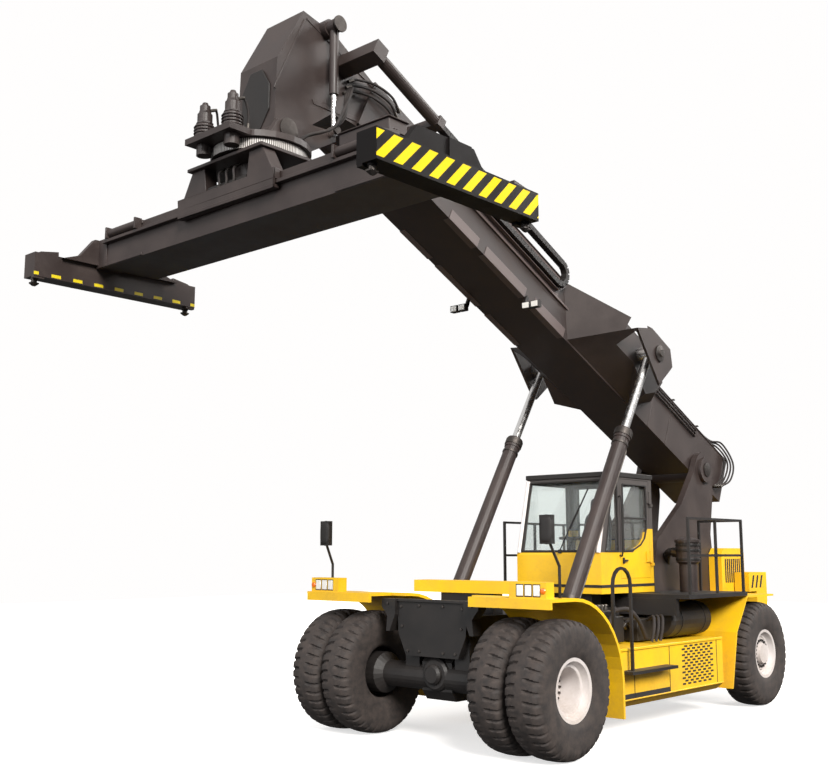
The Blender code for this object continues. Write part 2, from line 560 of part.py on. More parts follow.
def outer_boom(boom):
    """Box tube, open at the head, with the two swept wings that the lift cylinders push on."""
    tube = box((BOOM_TAIL, BOOM_FRONT), (-BOOM_HALF, BOOM_HALF), (BOOM_LOW, BOOM_HIGH))
    collar = box((BOOM_FRONT - 0.22, BOOM_FRONT), (-BOOM_HALF - 0.03, BOOM_HALF + 0.03),
                 (BOOM_LOW - 0.03, BOOM_HIGH + 0.03))
    wings, slots, pins = [], [], []
    for s in (-1, 1):
        wing = loft(WING_ROOT, BOOM_HALF - 0.02, WING_TIP, WING_OUT)
        wings.append(wing if s > 0 else mirrored(wing))
        slots.append(box((2.20, 3.64), sorted((s * (LIFT_Y - SLOT_HALF), s * (LIFT_Y + SLOT_HALF))), (-1.0, 1.5)))
        pins.append(rod((LIFT_EYE[0], s * (WING_OUT - 0.03), LIFT_EYE[1]),
                        (LIFT_EYE[0], s * (WING_OUT + 0.03), LIFT_EYE[1]), 0.10, 24))
    trunnions = rod((0, -FRAME_HALF - 0.05, 0), (0, FRAME_HALF + 0.05, 0), PIVOT_PIN, 32)
    cheeks = rod((0, -FRAME_HALF + TOWER_PLATE + SLIDE_GAP, 0), (0, FRAME_HALF - TOWER_PLATE - SLIDE_GAP, 0), 0.20, 32)
    hollow = box((BOOM_TAIL + BOOM_WALL, BOOM_FRONT - 0.22), (-BOOM_HALF + BOOM_WALL, BOOM_HALF - BOOM_WALL),
                 (BOOM_LOW + BOOM_WALL, BOOM_HIGH - BOOM_WALL))
    mouth = box((BOOM_FRONT - 0.30, BOOM_FRONT + 0.10), (-inner_half() - SLIDE_GAP, inner_half() + SLIDE_GAP),
                (inner_low() - SLIDE_GAP, inner_high() + SLIDE_GAP))
    piece("outer_boom", "charcoal_paint", boom, tube, [collar, *wings, *pins, trunnions, cheeks],
          [*slots, hollow, mouth])


def inner_half():
    return BOOM_HALF - BOOM_WALL - INNER_GAP


def inner_low():
    return BOOM_LOW + BOOM_WALL + INNER_GAP


def inner_high():
    return BOOM_HIGH - BOOM_WALL - INNER_GAP


def on_boom(point):
    """A point (x, z) of the machine in the boom's own (u, w)."""
    turn = math.radians(BOOM_ANGLE)
    dx, dz = point[0] - PIVOT[0], point[1] - PIVOT[1]
    return (dx * math.cos(turn) + dz * math.sin(turn), -dx * math.sin(turn) + dz * math.cos(turn))


def inner_boom(boom):
    """Inner section with its rear slide pads, hooked head and the side struts at the head."""
    half, low, high = inner_half(), inner_low(), inner_high()
    beam = box((INNER_TAIL, 9.10), (-half, half), (low, high))
    pads = box((INNER_TAIL + 0.02, INNER_TAIL + 0.30), (-half - INNER_GAP + RUN_GAP, half + INNER_GAP - RUN_GAP),
               (low - INNER_GAP + RUN_GAP, high + INNER_GAP - RUN_GAP))
    tilt = on_boom(TILT_PIN)
    outline = [(9.00, low), (9.30, -0.16), (9.48, -0.26), (9.70, -0.68), (tilt[0] - 0.12, tilt[1] - 0.06),
               *arc(tilt, 0.13, 220, 330, 4), (10.43, -0.23), (10.38, 0.58), (9.85, 0.70), (9.00, high - 0.01)]
    head = prism(outline, "Y", -HEAD_HALF, HEAD_HALF)
    cheeks = rod((tilt[0], -HEAD_HALF - 0.0145, tilt[1]), (tilt[0], HEAD_HALF + 0.0145, tilt[1]), 0.14, 32)
    top = on_boom(DAMPER_TOP)
    ears = rod((top[0], -DAMPER_Y + 0.0605, top[1]), (top[0], DAMPER_Y - 0.0605, top[1]), 0.11, 24)
    arm = box((9.50, 9.70), (-1.00, 1.00), (0.30, 0.50))
    cross = box((8.30, 8.42), (-0.98, 0.98), (0.32, 0.46))
    struts = [rod((8.36, s * 0.90, 0.39), (9.60, s * 0.90, 0.40), 0.075, 16) for s in (-1, 1)]
    bore = rod((tilt[0], -1, tilt[1]), (tilt[0], 1, tilt[1]), TILT_PIN_RADIUS + 0.0007, 32)
    hollow = box((INNER_TAIL - 0.1, 8.90), (-half + BOOM_WALL, half - BOOM_WALL), (low + BOOM_WALL, high - BOOM_WALL))
    piece("inner_boom", "charcoal_paint", boom, beam, [pads, head, cheeks, ears, arm, cross, *struts], [bore, hollow])


# ---- cylinders -------------------------------------------------------------------------------
def cylinder_axis(root, name, foot, eye, y):
    """An empty at a cylinder's foot, its +X towards the eye, and the length between them."""
    dx, dz = eye[0] - foot[0], eye[1] - foot[1]
    return empty(name, root, (foot[0], y, foot[1]), math.degrees(math.atan2(dz, dx))), math.hypot(dx, dz)


def from_boom(point):
    """A boom point (u, w) as (x, z) of the machine."""
    turn = math.radians(BOOM_ANGLE)
    return (PIVOT[0] + point[0] * math.cos(turn) - point[1] * math.sin(turn),
            PIVOT[1] + point[0] * math.sin(turn) + point[1] * math.cos(turn))


def lift_cylinder(root, side, name):
    holder, length = cylinder_axis(root, f"lift_axis_{name}", LIFT_FOOT, from_boom(LIFT_EYE), side * LIFT_Y)
    bore = ROD_RADIUS + SLIDE_GAP
    barrel = turned([(0, 0.02), (BARREL_RADIUS, 0.02), (BARREL_RADIUS, BARREL_LENGTH - 0.17),
                     (BARREL_RADIUS + 0.012, BARREL_LENGTH - 0.17), (BARREL_RADIUS + 0.012, BARREL_LENGTH),
                     (bore, BARREL_LENGTH), (bore, 0.20), (0, 0.20)], "X", (0, 0, 0), 24)
    foot = rod((0, -0.12, 0), (0, 0.12, 0), 0.15, 24)
    piece(f"lift_barrel_{name}", "charcoal_paint", holder, barrel, [foot], smooth=True)
    eye = rod((length, -SLOT_HALF + RUN_GAP, 0), (length, SLOT_HALF - RUN_GAP, 0), 0.12, 30)
    piece(f"lift_rod_{name}", "chrome", holder,
          turned([(0, ROD_INNER_END), (ROD_RADIUS, ROD_INNER_END), (ROD_RADIUS, length - 0.05), (0, length - 0.05)],
                 "X", (0, 0, 0), 24), [eye], smooth=True)


def damper(root, side, name):
    """Damping cylinder between the head and the rotator yoke, its barrel hung on the head."""
    holder, length = cylinder_axis(root, f"damper_axis_{name}", DAMPER_TOP, DAMPER_LOW, side * DAMPER_Y)
    shank = 0.028
    barrel = turned([(0, 0.03), (0.055, 0.03), (0.055, 0.86), (shank + SLIDE_GAP, 0.86),
                     (shank + SLIDE_GAP, 0.12), (0, 0.12)], "X", (0, 0, 0), 24)
    piece(f"damper_barrel_{name}", "charcoal_paint", holder, barrel,
          [rod((0, -0.06, 0), (0, 0.06, 0), 0.085, 24)], smooth=True)
    piece(f"damper_rod_{name}", "chrome", holder, rod((0.50, 0, 0), (length - 0.02, 0, 0), shank, 16),
          [rod((length, -0.0547, 0), (length, 0.0547, 0), 0.06, 24)], smooth=True)


# ---- rotator and spreader ----------------------------------------------------------------------
def rotator_yoke(root):
    """Hinged plate under the head that carries the slewing motors; its pin runs through the head."""
    inner = HEAD_HALF + 0.015
    outer = inner + YOKE_EAR
    px, pz = TILT_PIN
    plate_top = SLEW_TOP + 0.07
    disc = turned([(0, SLEW_TOP), (0.60, SLEW_TOP), (0.60, plate_top), (0, plate_top)], "Z", (SPREADER_X, 0, 0), 32)
    nose = box((SPREADER_X, SPREADER_X + 0.75), (-0.40, 0.40), (SLEW_TOP, plate_top))
    low_x, low_z = DAMPER_LOW
    ear = [(px + 0.30, plate_top - 0.02), (px + 0.14, pz + 0.10), (px - 0.05, pz + 0.15), (low_x + 0.10, low_z + 0.02),
           (low_x - 0.09, low_z + 0.02), (low_x - 0.10, low_z - 0.08), (px - 0.35, plate_top - 0.02)]
    ears = [prism(ear, "Y", *sorted((s * inner, s * outer))) for s in (-1, 1)]
    pin = rod((px, -outer + 0.01, pz), (px, outer - 0.01, pz), TILT_PIN_RADIUS, 32)
    motors = []
    for s in (-1, 1):
        at = (SPREADER_X + 0.595, s * 0.25, 0)
        motors.append(turned([(0, SLEW_TOP - 0.12), (0.085, SLEW_TOP - 0.12), (0.085, SLEW_TOP + 0.01),
                              (0.11, plate_top - 0.01), (0.11, plate_top + 0.16), (0.085, plate_top + 0.18),
                              (0.085, plate_top + 0.30), (0.06, plate_top + 0.31), (0.06, plate_top + 0.40),
                              (0, plate_top + 0.40)], "Z", at, 20))
    piece("rotator_yoke", "charcoal_paint", root, disc, [nose, *ears, pin, *motors])


def rotating_frame(root):
    """Slewing ring and the saddle that grips the spreader's main box, claws under its edges."""
    ring = turned([(0, SPREADER_HIGH + 0.10), (0.46, SPREADER_HIGH + 0.10), (0.46, SLEW_TOP - 0.13),
                   (SLEW_RADIUS, SLEW_TOP - 0.13), (SLEW_RADIUS, SLEW_TOP - SLIDE_GAP), (0, SLEW_TOP - SLIDE_GAP)],
                  "Z", (SPREADER_X, 0, 0), 48)
    saddle = box((SPREADER_X - 0.46, SPREADER_X + 0.46), (-0.60, 0.60),
                 (SPREADER_HIGH + SLIDE_GAP, SPREADER_HIGH + 0.18))
    cheek = [(-0.42, SPREADER_HIGH + 0.18), (-0.78, SPREADER_LOW - 0.08), (0.78, SPREADER_LOW - 0.08),
             (0.42, SPREADER_HIGH + 0.18)]
    grip = FRAME_BOX_HALF + RUN_GAP
    cheeks, claws = [], []
    for s in (-1, 1):
        cheeks.append(prism(cheek, "X", *sorted((SPREADER_X + s * grip, SPREADER_X + s * (grip + 0.08)))))
        claws.append(box(sorted((SPREADER_X + s * (grip - 0.10), SPREADER_X + s * (grip + 0.08))), (-0.70, 0.70),
                         (SPREADER_LOW - 0.08, SPREADER_LOW - RUN_GAP)))
    piece("rotating_frame", "charcoal_paint", root, ring, [saddle, *cheeks, *claws])


def spreader_frame(root):
    """Main box with a tunnel for each sliding beam, the two side by side."""
    body = box((SPREADER_X - FRAME_BOX_HALF, SPREADER_X + FRAME_BOX_HALF),
               (-SPREADER_BODY_HALF, SPREADER_BODY_HALF), (SPREADER_LOW, SPREADER_HIGH))
    tunnels = [box(sorted((SPREADER_X + s * 0.015, SPREADER_X + s * (FRAME_BOX_HALF - SPREADER_WALL))),
                   (-SPREADER_BODY_HALF - 0.1, SPREADER_BODY_HALF + 0.1),
                   (SPREADER_LOW + SPREADER_WALL, SPREADER_HIGH - SPREADER_WALL)) for s in (-1, 1)]
    piece("spreader_frame", "charcoal_paint", root, body, (), tunnels)


def end_beam(root, side, name):
    """Sliding beam with the end beam across it, and beside each of its two twistlocks a pad that rests on a casting."""
    near, far = END_BEAM_OUT - END_BEAM_WIDTH, END_BEAM_OUT
    s = -side
    lane = sorted((SPREADER_X + s * (0.015 + RUN_GAP), SPREADER_X + s * (FRAME_BOX_HALF - SPREADER_WALL - RUN_GAP)))
    slider = box(lane, (-2.30, near + 0.05), (SPREADER_LOW + SPREADER_WALL + SLIDE_GAP,
                                              SPREADER_HIGH - SPREADER_WALL - RUN_GAP))
    cross = box((SPREADER_X - END_BEAM_HALF, SPREADER_X + END_BEAM_HALF), (near, far), (END_BEAM_LOW, END_BEAM_HIGH))
    top = SPREADER_HIGH - SPREADER_WALL - RUN_GAP
    gusset = [(SPREADER_X - 0.85, END_BEAM_HIGH - 0.02), (SPREADER_X + 0.85, END_BEAM_HIGH - 0.02),
              (SPREADER_X + 0.62, END_BEAM_HIGH + 0.06), (SPREADER_X + 0.42, top), (SPREADER_X - 0.42, top),
              (SPREADER_X - 0.62, END_BEAM_HIGH + 0.06)]
    web = prism(gusset, "Y", near - 0.06, near + 0.03)
    pads = []
    for x in (SPREADER_X - LOCK_X, SPREADER_X + LOCK_X):
        pads.append(box((x - 0.07, x + 0.07), (LOCK_Y - 0.120, LOCK_Y - 0.056), (PAD_LOW, END_BEAM_LOW + 0.02)))
        pads.append(turned([(0, PAD_LOW), (0.045, PAD_LOW), (0.045, END_BEAM_LOW + 0.02), (0, END_BEAM_LOW + 0.02)],
                           "Z", (x, LOCK_Y, 0), 24))
    piece(f"end_beam_{name}", "charcoal_paint", root, cross, [slider, web, *pads], side=side)


def twistlock(root, side, end, name):
    """Round neck with a pointed head as long as a container casting's slot."""
    top = PAD_LOW - SLIDE_GAP
    centre = (SPREADER_X + end * LOCK_X, side * LOCK_Y, 0)
    neck = turned([(0, top), (0.036, top), (0.036, top - 0.045), (0, top - 0.045)], "Z", centre, 16)
    x, y = centre[0], centre[1]
    head = bmesh.new()
    rings = []
    for grow, z in ((1.0, top - 0.035), (1.0, top - 0.050), (0.35, top - 0.080)):
        rings.append([head.verts.new((x + a * 0.052 * grow, y + b * 0.030 * grow, z))
                      for a, b in ((-1, -1), (1, -1), (1, 1), (-1, 1))])
    head.faces.new(rings[0])
    head.faces.new(rings[-1])
    for lower, upper in zip(rings, rings[1:]):
        for k in range(4):
            m = (k + 1) % 4
            head.faces.new((lower[k], lower[m], upper[m], upper[k]))
    bmesh.ops.recalc_face_normals(head, faces=head.faces)
    piece(f"twistlock_{name}", "cast_steel", root, neck, [head])


def build():
    root = empty("machine", None, (-MIDDLE_X, 0, 0))
    boom = empty("boom_pivot", root, (PIVOT[0], 0, PIVOT[1]), BOOM_ANGLE)
    chassis_frame(root)
    front_axle(root)
    front_plate(root)
    deck_beam(root)
    boom_tower(root)
    engine(root)
    counterweight(root)
    muffler_and_air_cleaner(root)
    access_steps(root)
    cab(root)
    cab_door(root)
    cab_fittings(root)
    rear_axle(root)
    outer_boom(boom)
    inner_boom(boom)
    rotator_yoke(root)
    rotating_frame(root)
    spreader_frame(root)
    knuckles = {}
    for side, name in ((1, "left"), (-1, "right")):
        fender(root, side, name)
        side_tank(root, side, name)
        rear_guard(root, side, name)
        walkway(root, side, name)
        mirror(root, side, name)
        knuckles[name] = knuckle(root, side, name)
        lift_cylinder(root, side, name)
        damper(root, side, name)
        end_beam(root, side, name)
        twistlock(root, side, 1, f"front_{name}")
        twistlock(root, side, -1, f"rear_{name}")
    wheels(root, knuckles)


clear_scene()
FINISH = make_finishes()
build()
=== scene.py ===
# %% [markdown]
# # Reach stacker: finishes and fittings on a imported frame
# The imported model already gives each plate, beam and wheel its size and place. This lesson adds what a
# frame lacks: tread, hoses, lamps, stripes, cushions and the paints. Every new piece is a surface worked
# out with numpy.

import json
import math

import bmesh
import bpy
import numpy as np
from mathutils import Matrix, Vector


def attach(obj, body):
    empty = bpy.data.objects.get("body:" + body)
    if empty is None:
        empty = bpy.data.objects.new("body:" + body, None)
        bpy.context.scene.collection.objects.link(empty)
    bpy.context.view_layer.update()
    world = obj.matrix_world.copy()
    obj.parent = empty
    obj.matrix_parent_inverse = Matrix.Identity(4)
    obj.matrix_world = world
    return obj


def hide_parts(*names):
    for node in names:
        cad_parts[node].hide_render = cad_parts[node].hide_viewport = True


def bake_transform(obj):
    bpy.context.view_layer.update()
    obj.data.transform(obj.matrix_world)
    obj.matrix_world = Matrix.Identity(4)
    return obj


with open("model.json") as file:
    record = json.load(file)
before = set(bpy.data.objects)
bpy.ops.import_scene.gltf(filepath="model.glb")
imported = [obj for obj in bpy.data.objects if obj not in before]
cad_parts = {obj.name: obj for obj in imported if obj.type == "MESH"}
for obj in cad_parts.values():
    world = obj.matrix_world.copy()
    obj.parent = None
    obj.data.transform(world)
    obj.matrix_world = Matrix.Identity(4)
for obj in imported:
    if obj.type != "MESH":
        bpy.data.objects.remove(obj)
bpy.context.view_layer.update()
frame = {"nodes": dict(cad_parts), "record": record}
JOINTS = {joint["name"]: joint for joint in frame["record"]["behaviour"]["joints"]}
AXLE = np.array([JOINTS["wheel_front_left_spin"]["pos_m"][0], 0.0, 0.0])
HUB_HEIGHT = JOINTS["wheel_front_left_spin"]["pos_m"][2]
PIVOT = np.array(JOINTS["boom_lift"]["pos_m"]) - AXLE
ALONG = np.array(JOINTS["boom_extend"]["axis"])
SQUARE = np.array([-ALONG[2], 0.0, ALONG[0]])
SLEW = np.array(JOINTS["rotator_slew"]["pos_m"]) - AXLE
WHEELBASE = AXLE[0] - JOINTS["wheel_rear_left_spin"]["pos_m"][0]
print("boom pivot", PIVOT.round(3), "wheelbase", round(WHEELBASE, 3))

# %% [markdown]
# A shape is a grid of points: rows of sections, each section a closed ring. Neighbouring points make quads
# and the two end rings are closed with one face each. Places are written from the front axle, so `piece`
# adds the axle's own place at the end; boom pieces are written along the boom and square to it.

# %% Grids, rings and sweeps
def skin(grid):
    """Quads between neighbouring rings of a (rings, points, 3) grid, with a cap on both end rings."""
    rings, count = grid.shape[:2]
    start = np.arange(rings - 1)[:, None] * count
    here, beside = np.arange(count), (np.arange(count) + 1) % count
    quads = np.stack([start + here, start + beside, start + count + beside, start + count + here], -1)
    caps = [list(range(count)), list(range((rings - 1) * count, rings * count))]
    return grid.reshape(-1, 3), quads.reshape(-1, 4).tolist() + caps


def looped(grid):
    """A skin whose last ring meets the first, so it has no caps."""
    points, faces = skin(grid)
    rings, count = grid.shape[:2]
    last = (rings - 1) * count
    here, beside = np.arange(count), (np.arange(count) + 1) % count
    return points, faces[:-2] + np.stack([last + here, last + beside, beside, here], -1).tolist()


def joined(shapes):
    """Several (points, faces) shapes as one."""
    starts = np.cumsum([0] + [len(points) for points, _ in shapes])
    faces = [[int(k + start) for k in face] for (_, each), start in zip(shapes, starts) for face in each]
    return np.concatenate([points for points, _ in shapes]), faces


def piece(name, shape, finish, body, bevel=0.0, smooth=True, slot=None):
    """Puts a shape into a mesh at the machine's place, faces outward; it rides on a body if one is named."""
    points, faces = shape
    mesh = bpy.data.meshes.new(name)
    mesh.from_pydata((points + AXLE).tolist(), [], faces)
    work = bmesh.new()
    work.from_mesh(mesh)
    bmesh.ops.remove_doubles(work, verts=work.verts, dist=1e-5)
    bmesh.ops.recalc_face_normals(work, faces=work.faces)
    work.to_mesh(mesh)
    work.free()
    made = bpy.data.objects.new(name, mesh)
    bpy.context.scene.collection.objects.link(made)
    mesh.materials.append(finish)
    if smooth:
        mesh.shade_smooth()
        mesh.set_sharp_from_angle(angle=math.radians(32))
    if bevel:
        rounding = made.modifiers.new("edges", "BEVEL")
        rounding.width = bevel
        rounding.segments = 2
        rounding.limit_method = "ANGLE"
        rounding.harden_normals = False
    if body:
        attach(made, body)
    return made


def slab(outline, axis, low, high):
    """An outline of (a, b) points carried from low to high along an axis."""
    flat = np.array(outline, float)
    ends = [np.insert(flat, "XYZ".index(axis), station, axis=1) for station in (low, high)]
    return skin(np.array(ends))


def around(middle, half=0.012):
    return middle - half, middle + half


def block(x, y, z):
    """A box from three (low, high) pairs, as a slab whose outline is its plan."""
    return slab([(x[0], y[0]), (x[1], y[0]), (x[1], y[1]), (x[0], y[1])], "Z", *z)


def turned(profile, axis, centre, count=32):
    """(radius, station) points carried round an axis: ring k is the circle of radius k at station k."""
    radius, station = np.maximum(np.array(profile, float), [1e-4, -1e9]).T
    angle = np.linspace(0, math.tau, count, endpoint=False)
    across = np.stack([np.outer(radius, np.cos(angle)), np.outer(radius, np.sin(angle))], -1)
    rings = np.insert(across, "XYZ".index(axis), np.broadcast_to(station[:, None], across.shape[:2]), axis=2)
    return skin(rings + np.array(centre))


def disc(radius, low, high, axis, centre, count=32):
    """A plain round plate or stub from low to high along an axis."""
    return turned([(0, low), (radius, low), (radius, high), (0, high)], axis, centre, count)


def eased(points, per=6):
    """A Catmull-Rom curve: each stretch is a cubic that leaves a point along its neighbours' chord."""
    p = np.array(points, float)
    p = np.concatenate([[2 * p[0] - p[1]], p, [2 * p[-1] - p[-2]]])
    t = np.linspace(0, 1, per, endpoint=False)[None, :, None]
    a, b, c, d = (p[k:len(p) - 3 + k][:, None] for k in range(4))
    curve = 0.5 * (2 * b + (c - a) * t + (2 * a - 5 * b + 4 * c - d) * t**2 + (3 * b - a - 3 * c + d) * t**3)
    return np.concatenate([curve.reshape(-1, 3), p[-2:-1]])


def pipe(path, radius, count=10, reference=(0.0, 1.0, 0.02)):
    """A circle carried along a path; its plane is square to the path, turned by one reference direction."""
    path = np.array(path, float)
    forward = np.gradient(path, axis=0)
    forward /= np.linalg.norm(forward, axis=1, keepdims=True)
    side = np.cross(forward, reference)
    side /= np.linalg.norm(side, axis=1, keepdims=True)
    up = np.cross(side, forward)
    angle = np.linspace(0, math.tau, count, endpoint=False)[None, :, None]
    return skin(path[:, None] + radius * (side[:, None] * np.cos(angle) + up[:, None] * np.sin(angle)))


def boom_points(points):
    """(along, across, square) points of the boom in the machine's frame: pivot + u*ALONG + w*SQUARE."""
    u, y, w = np.moveaxis(np.asarray(points, float), -1, 0)
    return PIVOT + u[..., None] * ALONG + w[..., None] * SQUARE + y[..., None] * np.array([0.0, 1.0, 0.0])


def on_boom(shape):
    return boom_points(shape[0]), shape[1]


def both_sides(make):
    for side, word in ((1, "left"), (-1, "right")):
        make(side, word)


def sided(shape, side):
    """The same shape on the left (1) or the right (-1)."""
    return shape[0] * np.array([1, side, 1]), shape[1]


def mirrored(name, shapes, side, finish, body, **more):
    """One piece for one side of the machine, from shapes that are drawn for the left."""
    word = "left" if side > 0 else "right"
    return piece(f"{name}_{word}", sided(joined(shapes), side), finish, body, **more)


# %% [markdown]
# ## Paints, rubber and metal
# Machine enamel is thick and even, but dust settles on it, rain streaks it and its gloss changes from place
# to place. Each paint mixes a clean and a dusty colour by two sizes of noise and lets the same noise move
# its roughness. One small function adds a node with its settings and links.

# %% Node helper and enamel paints
def linear(code):
    """An sRGB hex colour as linear light: x/12.92 below 0.04045, else ((x + 0.055) / 1.055) ** 2.4."""
    value = np.array([int(code[k:k + 2], 16) for k in (1, 3, 5)]) / 255
    value = np.where(value <= 0.04045, value / 12.92, ((value + 0.055) / 1.055) ** 2.4)
    return (*value.tolist(), 1.0)


def add(tree, kind, inputs=None, **settings):
    """Adds a node; an input's value is set, or linked where it is a socket."""
    made = tree.nodes.new(kind)
    for key, value in settings.items():
        setattr(made, key, value)
    for key, value in (inputs or {}).items():
        if isinstance(value, bpy.types.NodeSocket):
            tree.links.new(value, made.inputs[key])
        else:
            made.inputs[key].default_value = value
    return made


def new_finish(name, slot, **shader_values):
    """A material with its Principled shader, the slot of the record it stands for, and Object coordinates."""
    material = bpy.data.materials.new(name)
    material.use_nodes = True
    material["slot"] = slot
    tree = material.node_tree
    shader = tree.nodes["Principled BSDF"]
    for key, value in shader_values.items():
        shader.inputs[key.replace("_", " ")].default_value = value
    return material, tree, shader, add(tree, "ShaderNodeTexCoord").outputs["Object"]


def spread(tree, value, low, high, start, end):
    """A number between low and high as value goes from start to end."""
    return add(tree, "ShaderNodeMapRange", {"Value": value, "From Min": start, "From Max": end,
                                            "To Min": low, "To Max": high}).outputs["Result"]


def mix_colours(tree, amount, first, second):
    made = add(tree, "ShaderNodeMix", {0: amount, 6: first, 7: second}, data_type="RGBA")
    return made.outputs[2]


def calc(tree, operation, *values, clamp=False):
    """The result of a Math node on its one or two values."""
    made = add(tree, "ShaderNodeMath", dict(enumerate(values)), operation=operation, use_clamp=clamp)
    return made.outputs[0]


def noise(tree, place, scale, detail, roughness=0.5):
    return add(tree, "ShaderNodeTexNoise", {"Vector": place, "Scale": scale, "Detail": detail,
                                            "Roughness": roughness}).outputs["Fac"]


def wave(tree, place, scale, direction):
    made = add(tree, "ShaderNodeTexWave", {"Vector": place, "Scale": scale}, bands_direction=direction)
    return made.outputs["Fac"]


def relief(tree, shader, height, strength, distance):
    """Tilts the shader's normal by the slope of a height, whose full step is the distance in metres."""
    bump = add(tree, "ShaderNodeBump", {"Height": height, "Strength": strength, "Distance": distance})
    tree.links.new(bump.outputs["Normal"], shader.inputs["Normal"])


def enamel(name, slot, clean, dusty, roughness=0.38, dirt_line=1.1):
    """Two-pack enamel: soft gloss, 0.6 m dust clouds, 30 mm mottling and a dirtier lower part."""
    material, tree, shader, place = new_finish(name, slot, IOR=1.5)
    clouds, mottle = noise(tree, place, 1.7, 5.0, 0.62), noise(tree, place, 33.0, 3.0)
    height = add(tree, "ShaderNodeSeparateXYZ", {"Vector": place}).outputs["Z"]
    low = spread(tree, height, 0.30, 0.0, 0.2, dirt_line)
    dirt = calc(tree, "ADD", spread(tree, clouds, 0.0, 0.42, 0.38, 0.72), low)
    dirt = calc(tree, "MULTIPLY", dirt, spread(tree, mottle, 0.75, 1.25, 0.3, 0.7), clamp=True)
    tree.links.new(mix_colours(tree, dirt, linear(clean), linear(dusty)), shader.inputs["Base Color"])
    tree.links.new(spread(tree, dirt, roughness, roughness + 0.3, 0.0, 0.8), shader.inputs["Roughness"])
    orange_peel = noise(tree, place, 140.0, 2.0)
    relief(tree, shader, orange_peel, 0.06, 0.004)
    return material


YELLOW = enamel("yellow_machinery_enamel", "yellow_paint", "#F0BE14", "#B98A3A")
CHARCOAL = enamel("charcoal_boom_enamel", "charcoal_paint", "#302725", "#4F4440", 0.44)
BLACK = enamel("black_chassis_enamel", "black_paint", "#161312", "#302A27", 0.50)
# A lighter copy of the charcoal boom paint for the boom's side panel, rail, lids and chain guard strip:
# painted light, the lit look of those faces put into their colour.
CHARCOAL_LIT = enamel("pale_grey_panel_enamel", "charcoal_paint", "#5E5250", "#6E6360", 0.42)
STRIPE = enamel("hazard_black_enamel", "charcoal_paint", "#0E0B0B", "#1E1918", 0.55)
STRIPE.node_tree.nodes["Principled BSDF"].inputs["Specular IOR Level"].default_value = 0.15
RIM = enamel("silver_wheel_enamel", "tyre_rubber", "#D0CAC8", "#A39488", 0.32)
WHITE = enamel("white_marking_enamel", "charcoal_paint", "#E8E2E0", "#BBB0AA", 0.40)


# %% [markdown]
# Rubber, chrome, glass and cloth start from their own typical values: vulcanised rubber is rough and a
# little brown with dust in the grooves; hard chrome is almost a mirror; cab glass is clear with a green-
# grey body.

# %% Rubber, metal, glass and cloth
def dusty_rubber(name, slot, code, dust):
    """Vulcanised rubber: matt, brown dust in 25 mm patches, 2 mm grain as bump."""
    material, tree, shader, place = new_finish(name, slot, IOR=1.52)
    amount = spread(tree, noise(tree, place, 9.0, 6.0, 0.7), 0.05, 0.75, 0.35, 0.7)
    tree.links.new(mix_colours(tree, amount, linear(code), linear(dust)), shader.inputs["Base Color"])
    tree.links.new(spread(tree, amount, 0.72, 0.92, 0.0, 1.0), shader.inputs["Roughness"])
    relief(tree, shader, noise(tree, place, 260.0, 2.0), 0.25, 0.002)
    return material


def metal(name, slot, code, rough_low, rough_high, scale):
    """Bare metal: full metallic, its roughness wandering between two values by noise."""
    material, tree, shader, place = new_finish(name, slot, Metallic=1.0, Base_Color=linear(code))
    wander = noise(tree, place, scale, 4.0)
    tree.links.new(spread(tree, wander, rough_low, rough_high, 0.35, 0.65), shader.inputs["Roughness"])
    return material


def glazing(name, slot, code, transmission=0.97):
    """Toughened glass, 6 mm: clear, with the faint tint of its iron; a film of dust moves its roughness."""
    material, tree, shader, place = new_finish(name, slot, IOR=1.5, Base_Color=linear(code),
                                               Transmission_Weight=transmission)
    film = noise(tree, place, 3.0, 5.0)
    tree.links.new(spread(tree, film, 0.0, 0.03, 0.4, 0.7), shader.inputs["Roughness"])
    return material


def lens(name, slot, code):
    """Moulded lamp lens: polycarbonate with 12 mm vertical flutes as bump."""
    material, tree, shader, place = new_finish(name, slot, IOR=1.58, Base_Color=linear(code), Roughness=0.12,
                                               Coat_Weight=0.5)
    relief(tree, shader, wave(tree, place, 26.0, "Y"), 0.3, 0.003)
    return material


def seat_weave(name, slot, code, thread):
    """Woven seat cloth: 4 mm checks of two sine waves, coarser than the real 1.5 mm so that they show."""
    material, tree, shader, place = new_finish(name, slot, Roughness=0.9, Sheen_Weight=0.4)
    checks = calc(tree, "MULTIPLY", wave(tree, place, 80.0, "Y"), wave(tree, place, 80.0, "Z"))
    tree.links.new(mix_colours(tree, checks, linear(code), linear(thread)), shader.inputs["Base Color"])
    relief(tree, shader, checks, 0.4, 0.002)
    return material


TYRE = dusty_rubber("vulcanised_tyre_rubber", "tyre_rubber", "#211D1C", "#4A403B")
HOSE = dusty_rubber("wrapped_hydraulic_hose", "black_paint", "#1E1B1B", "#3C3431")
SEAL = dusty_rubber("window_seal_rubber", "black_paint", "#191717", "#2E2A28")
CHROME = metal("hard_chrome", "chrome", "#F4F2F0", 0.20, 0.32, 12.0)
STEEL = metal("worn_cast_steel", "cast_steel", "#55504D", 0.42, 0.62, 30.0)
ZINC = metal("zinc_plated_fitting", "chrome", "#6A6560", 0.35, 0.55, 40.0)
GLASS = glazing("toughened_cab_glass", "window_glass", "#F2F7F5")
LAMP = lens("clear_lamp_lens", "window_glass", "#E9E6DF")
AMBER = lens("amber_lamp_lens", "window_glass", "#E8741A")
MIRROR = metal("silvered_mirror_glass", "chrome", "#D9DDE0", 0.02, 0.05, 4.0)
CLOTH = seat_weave("woven_seat_cloth", "seat_cloth", "#1D1D20", "#34343A")

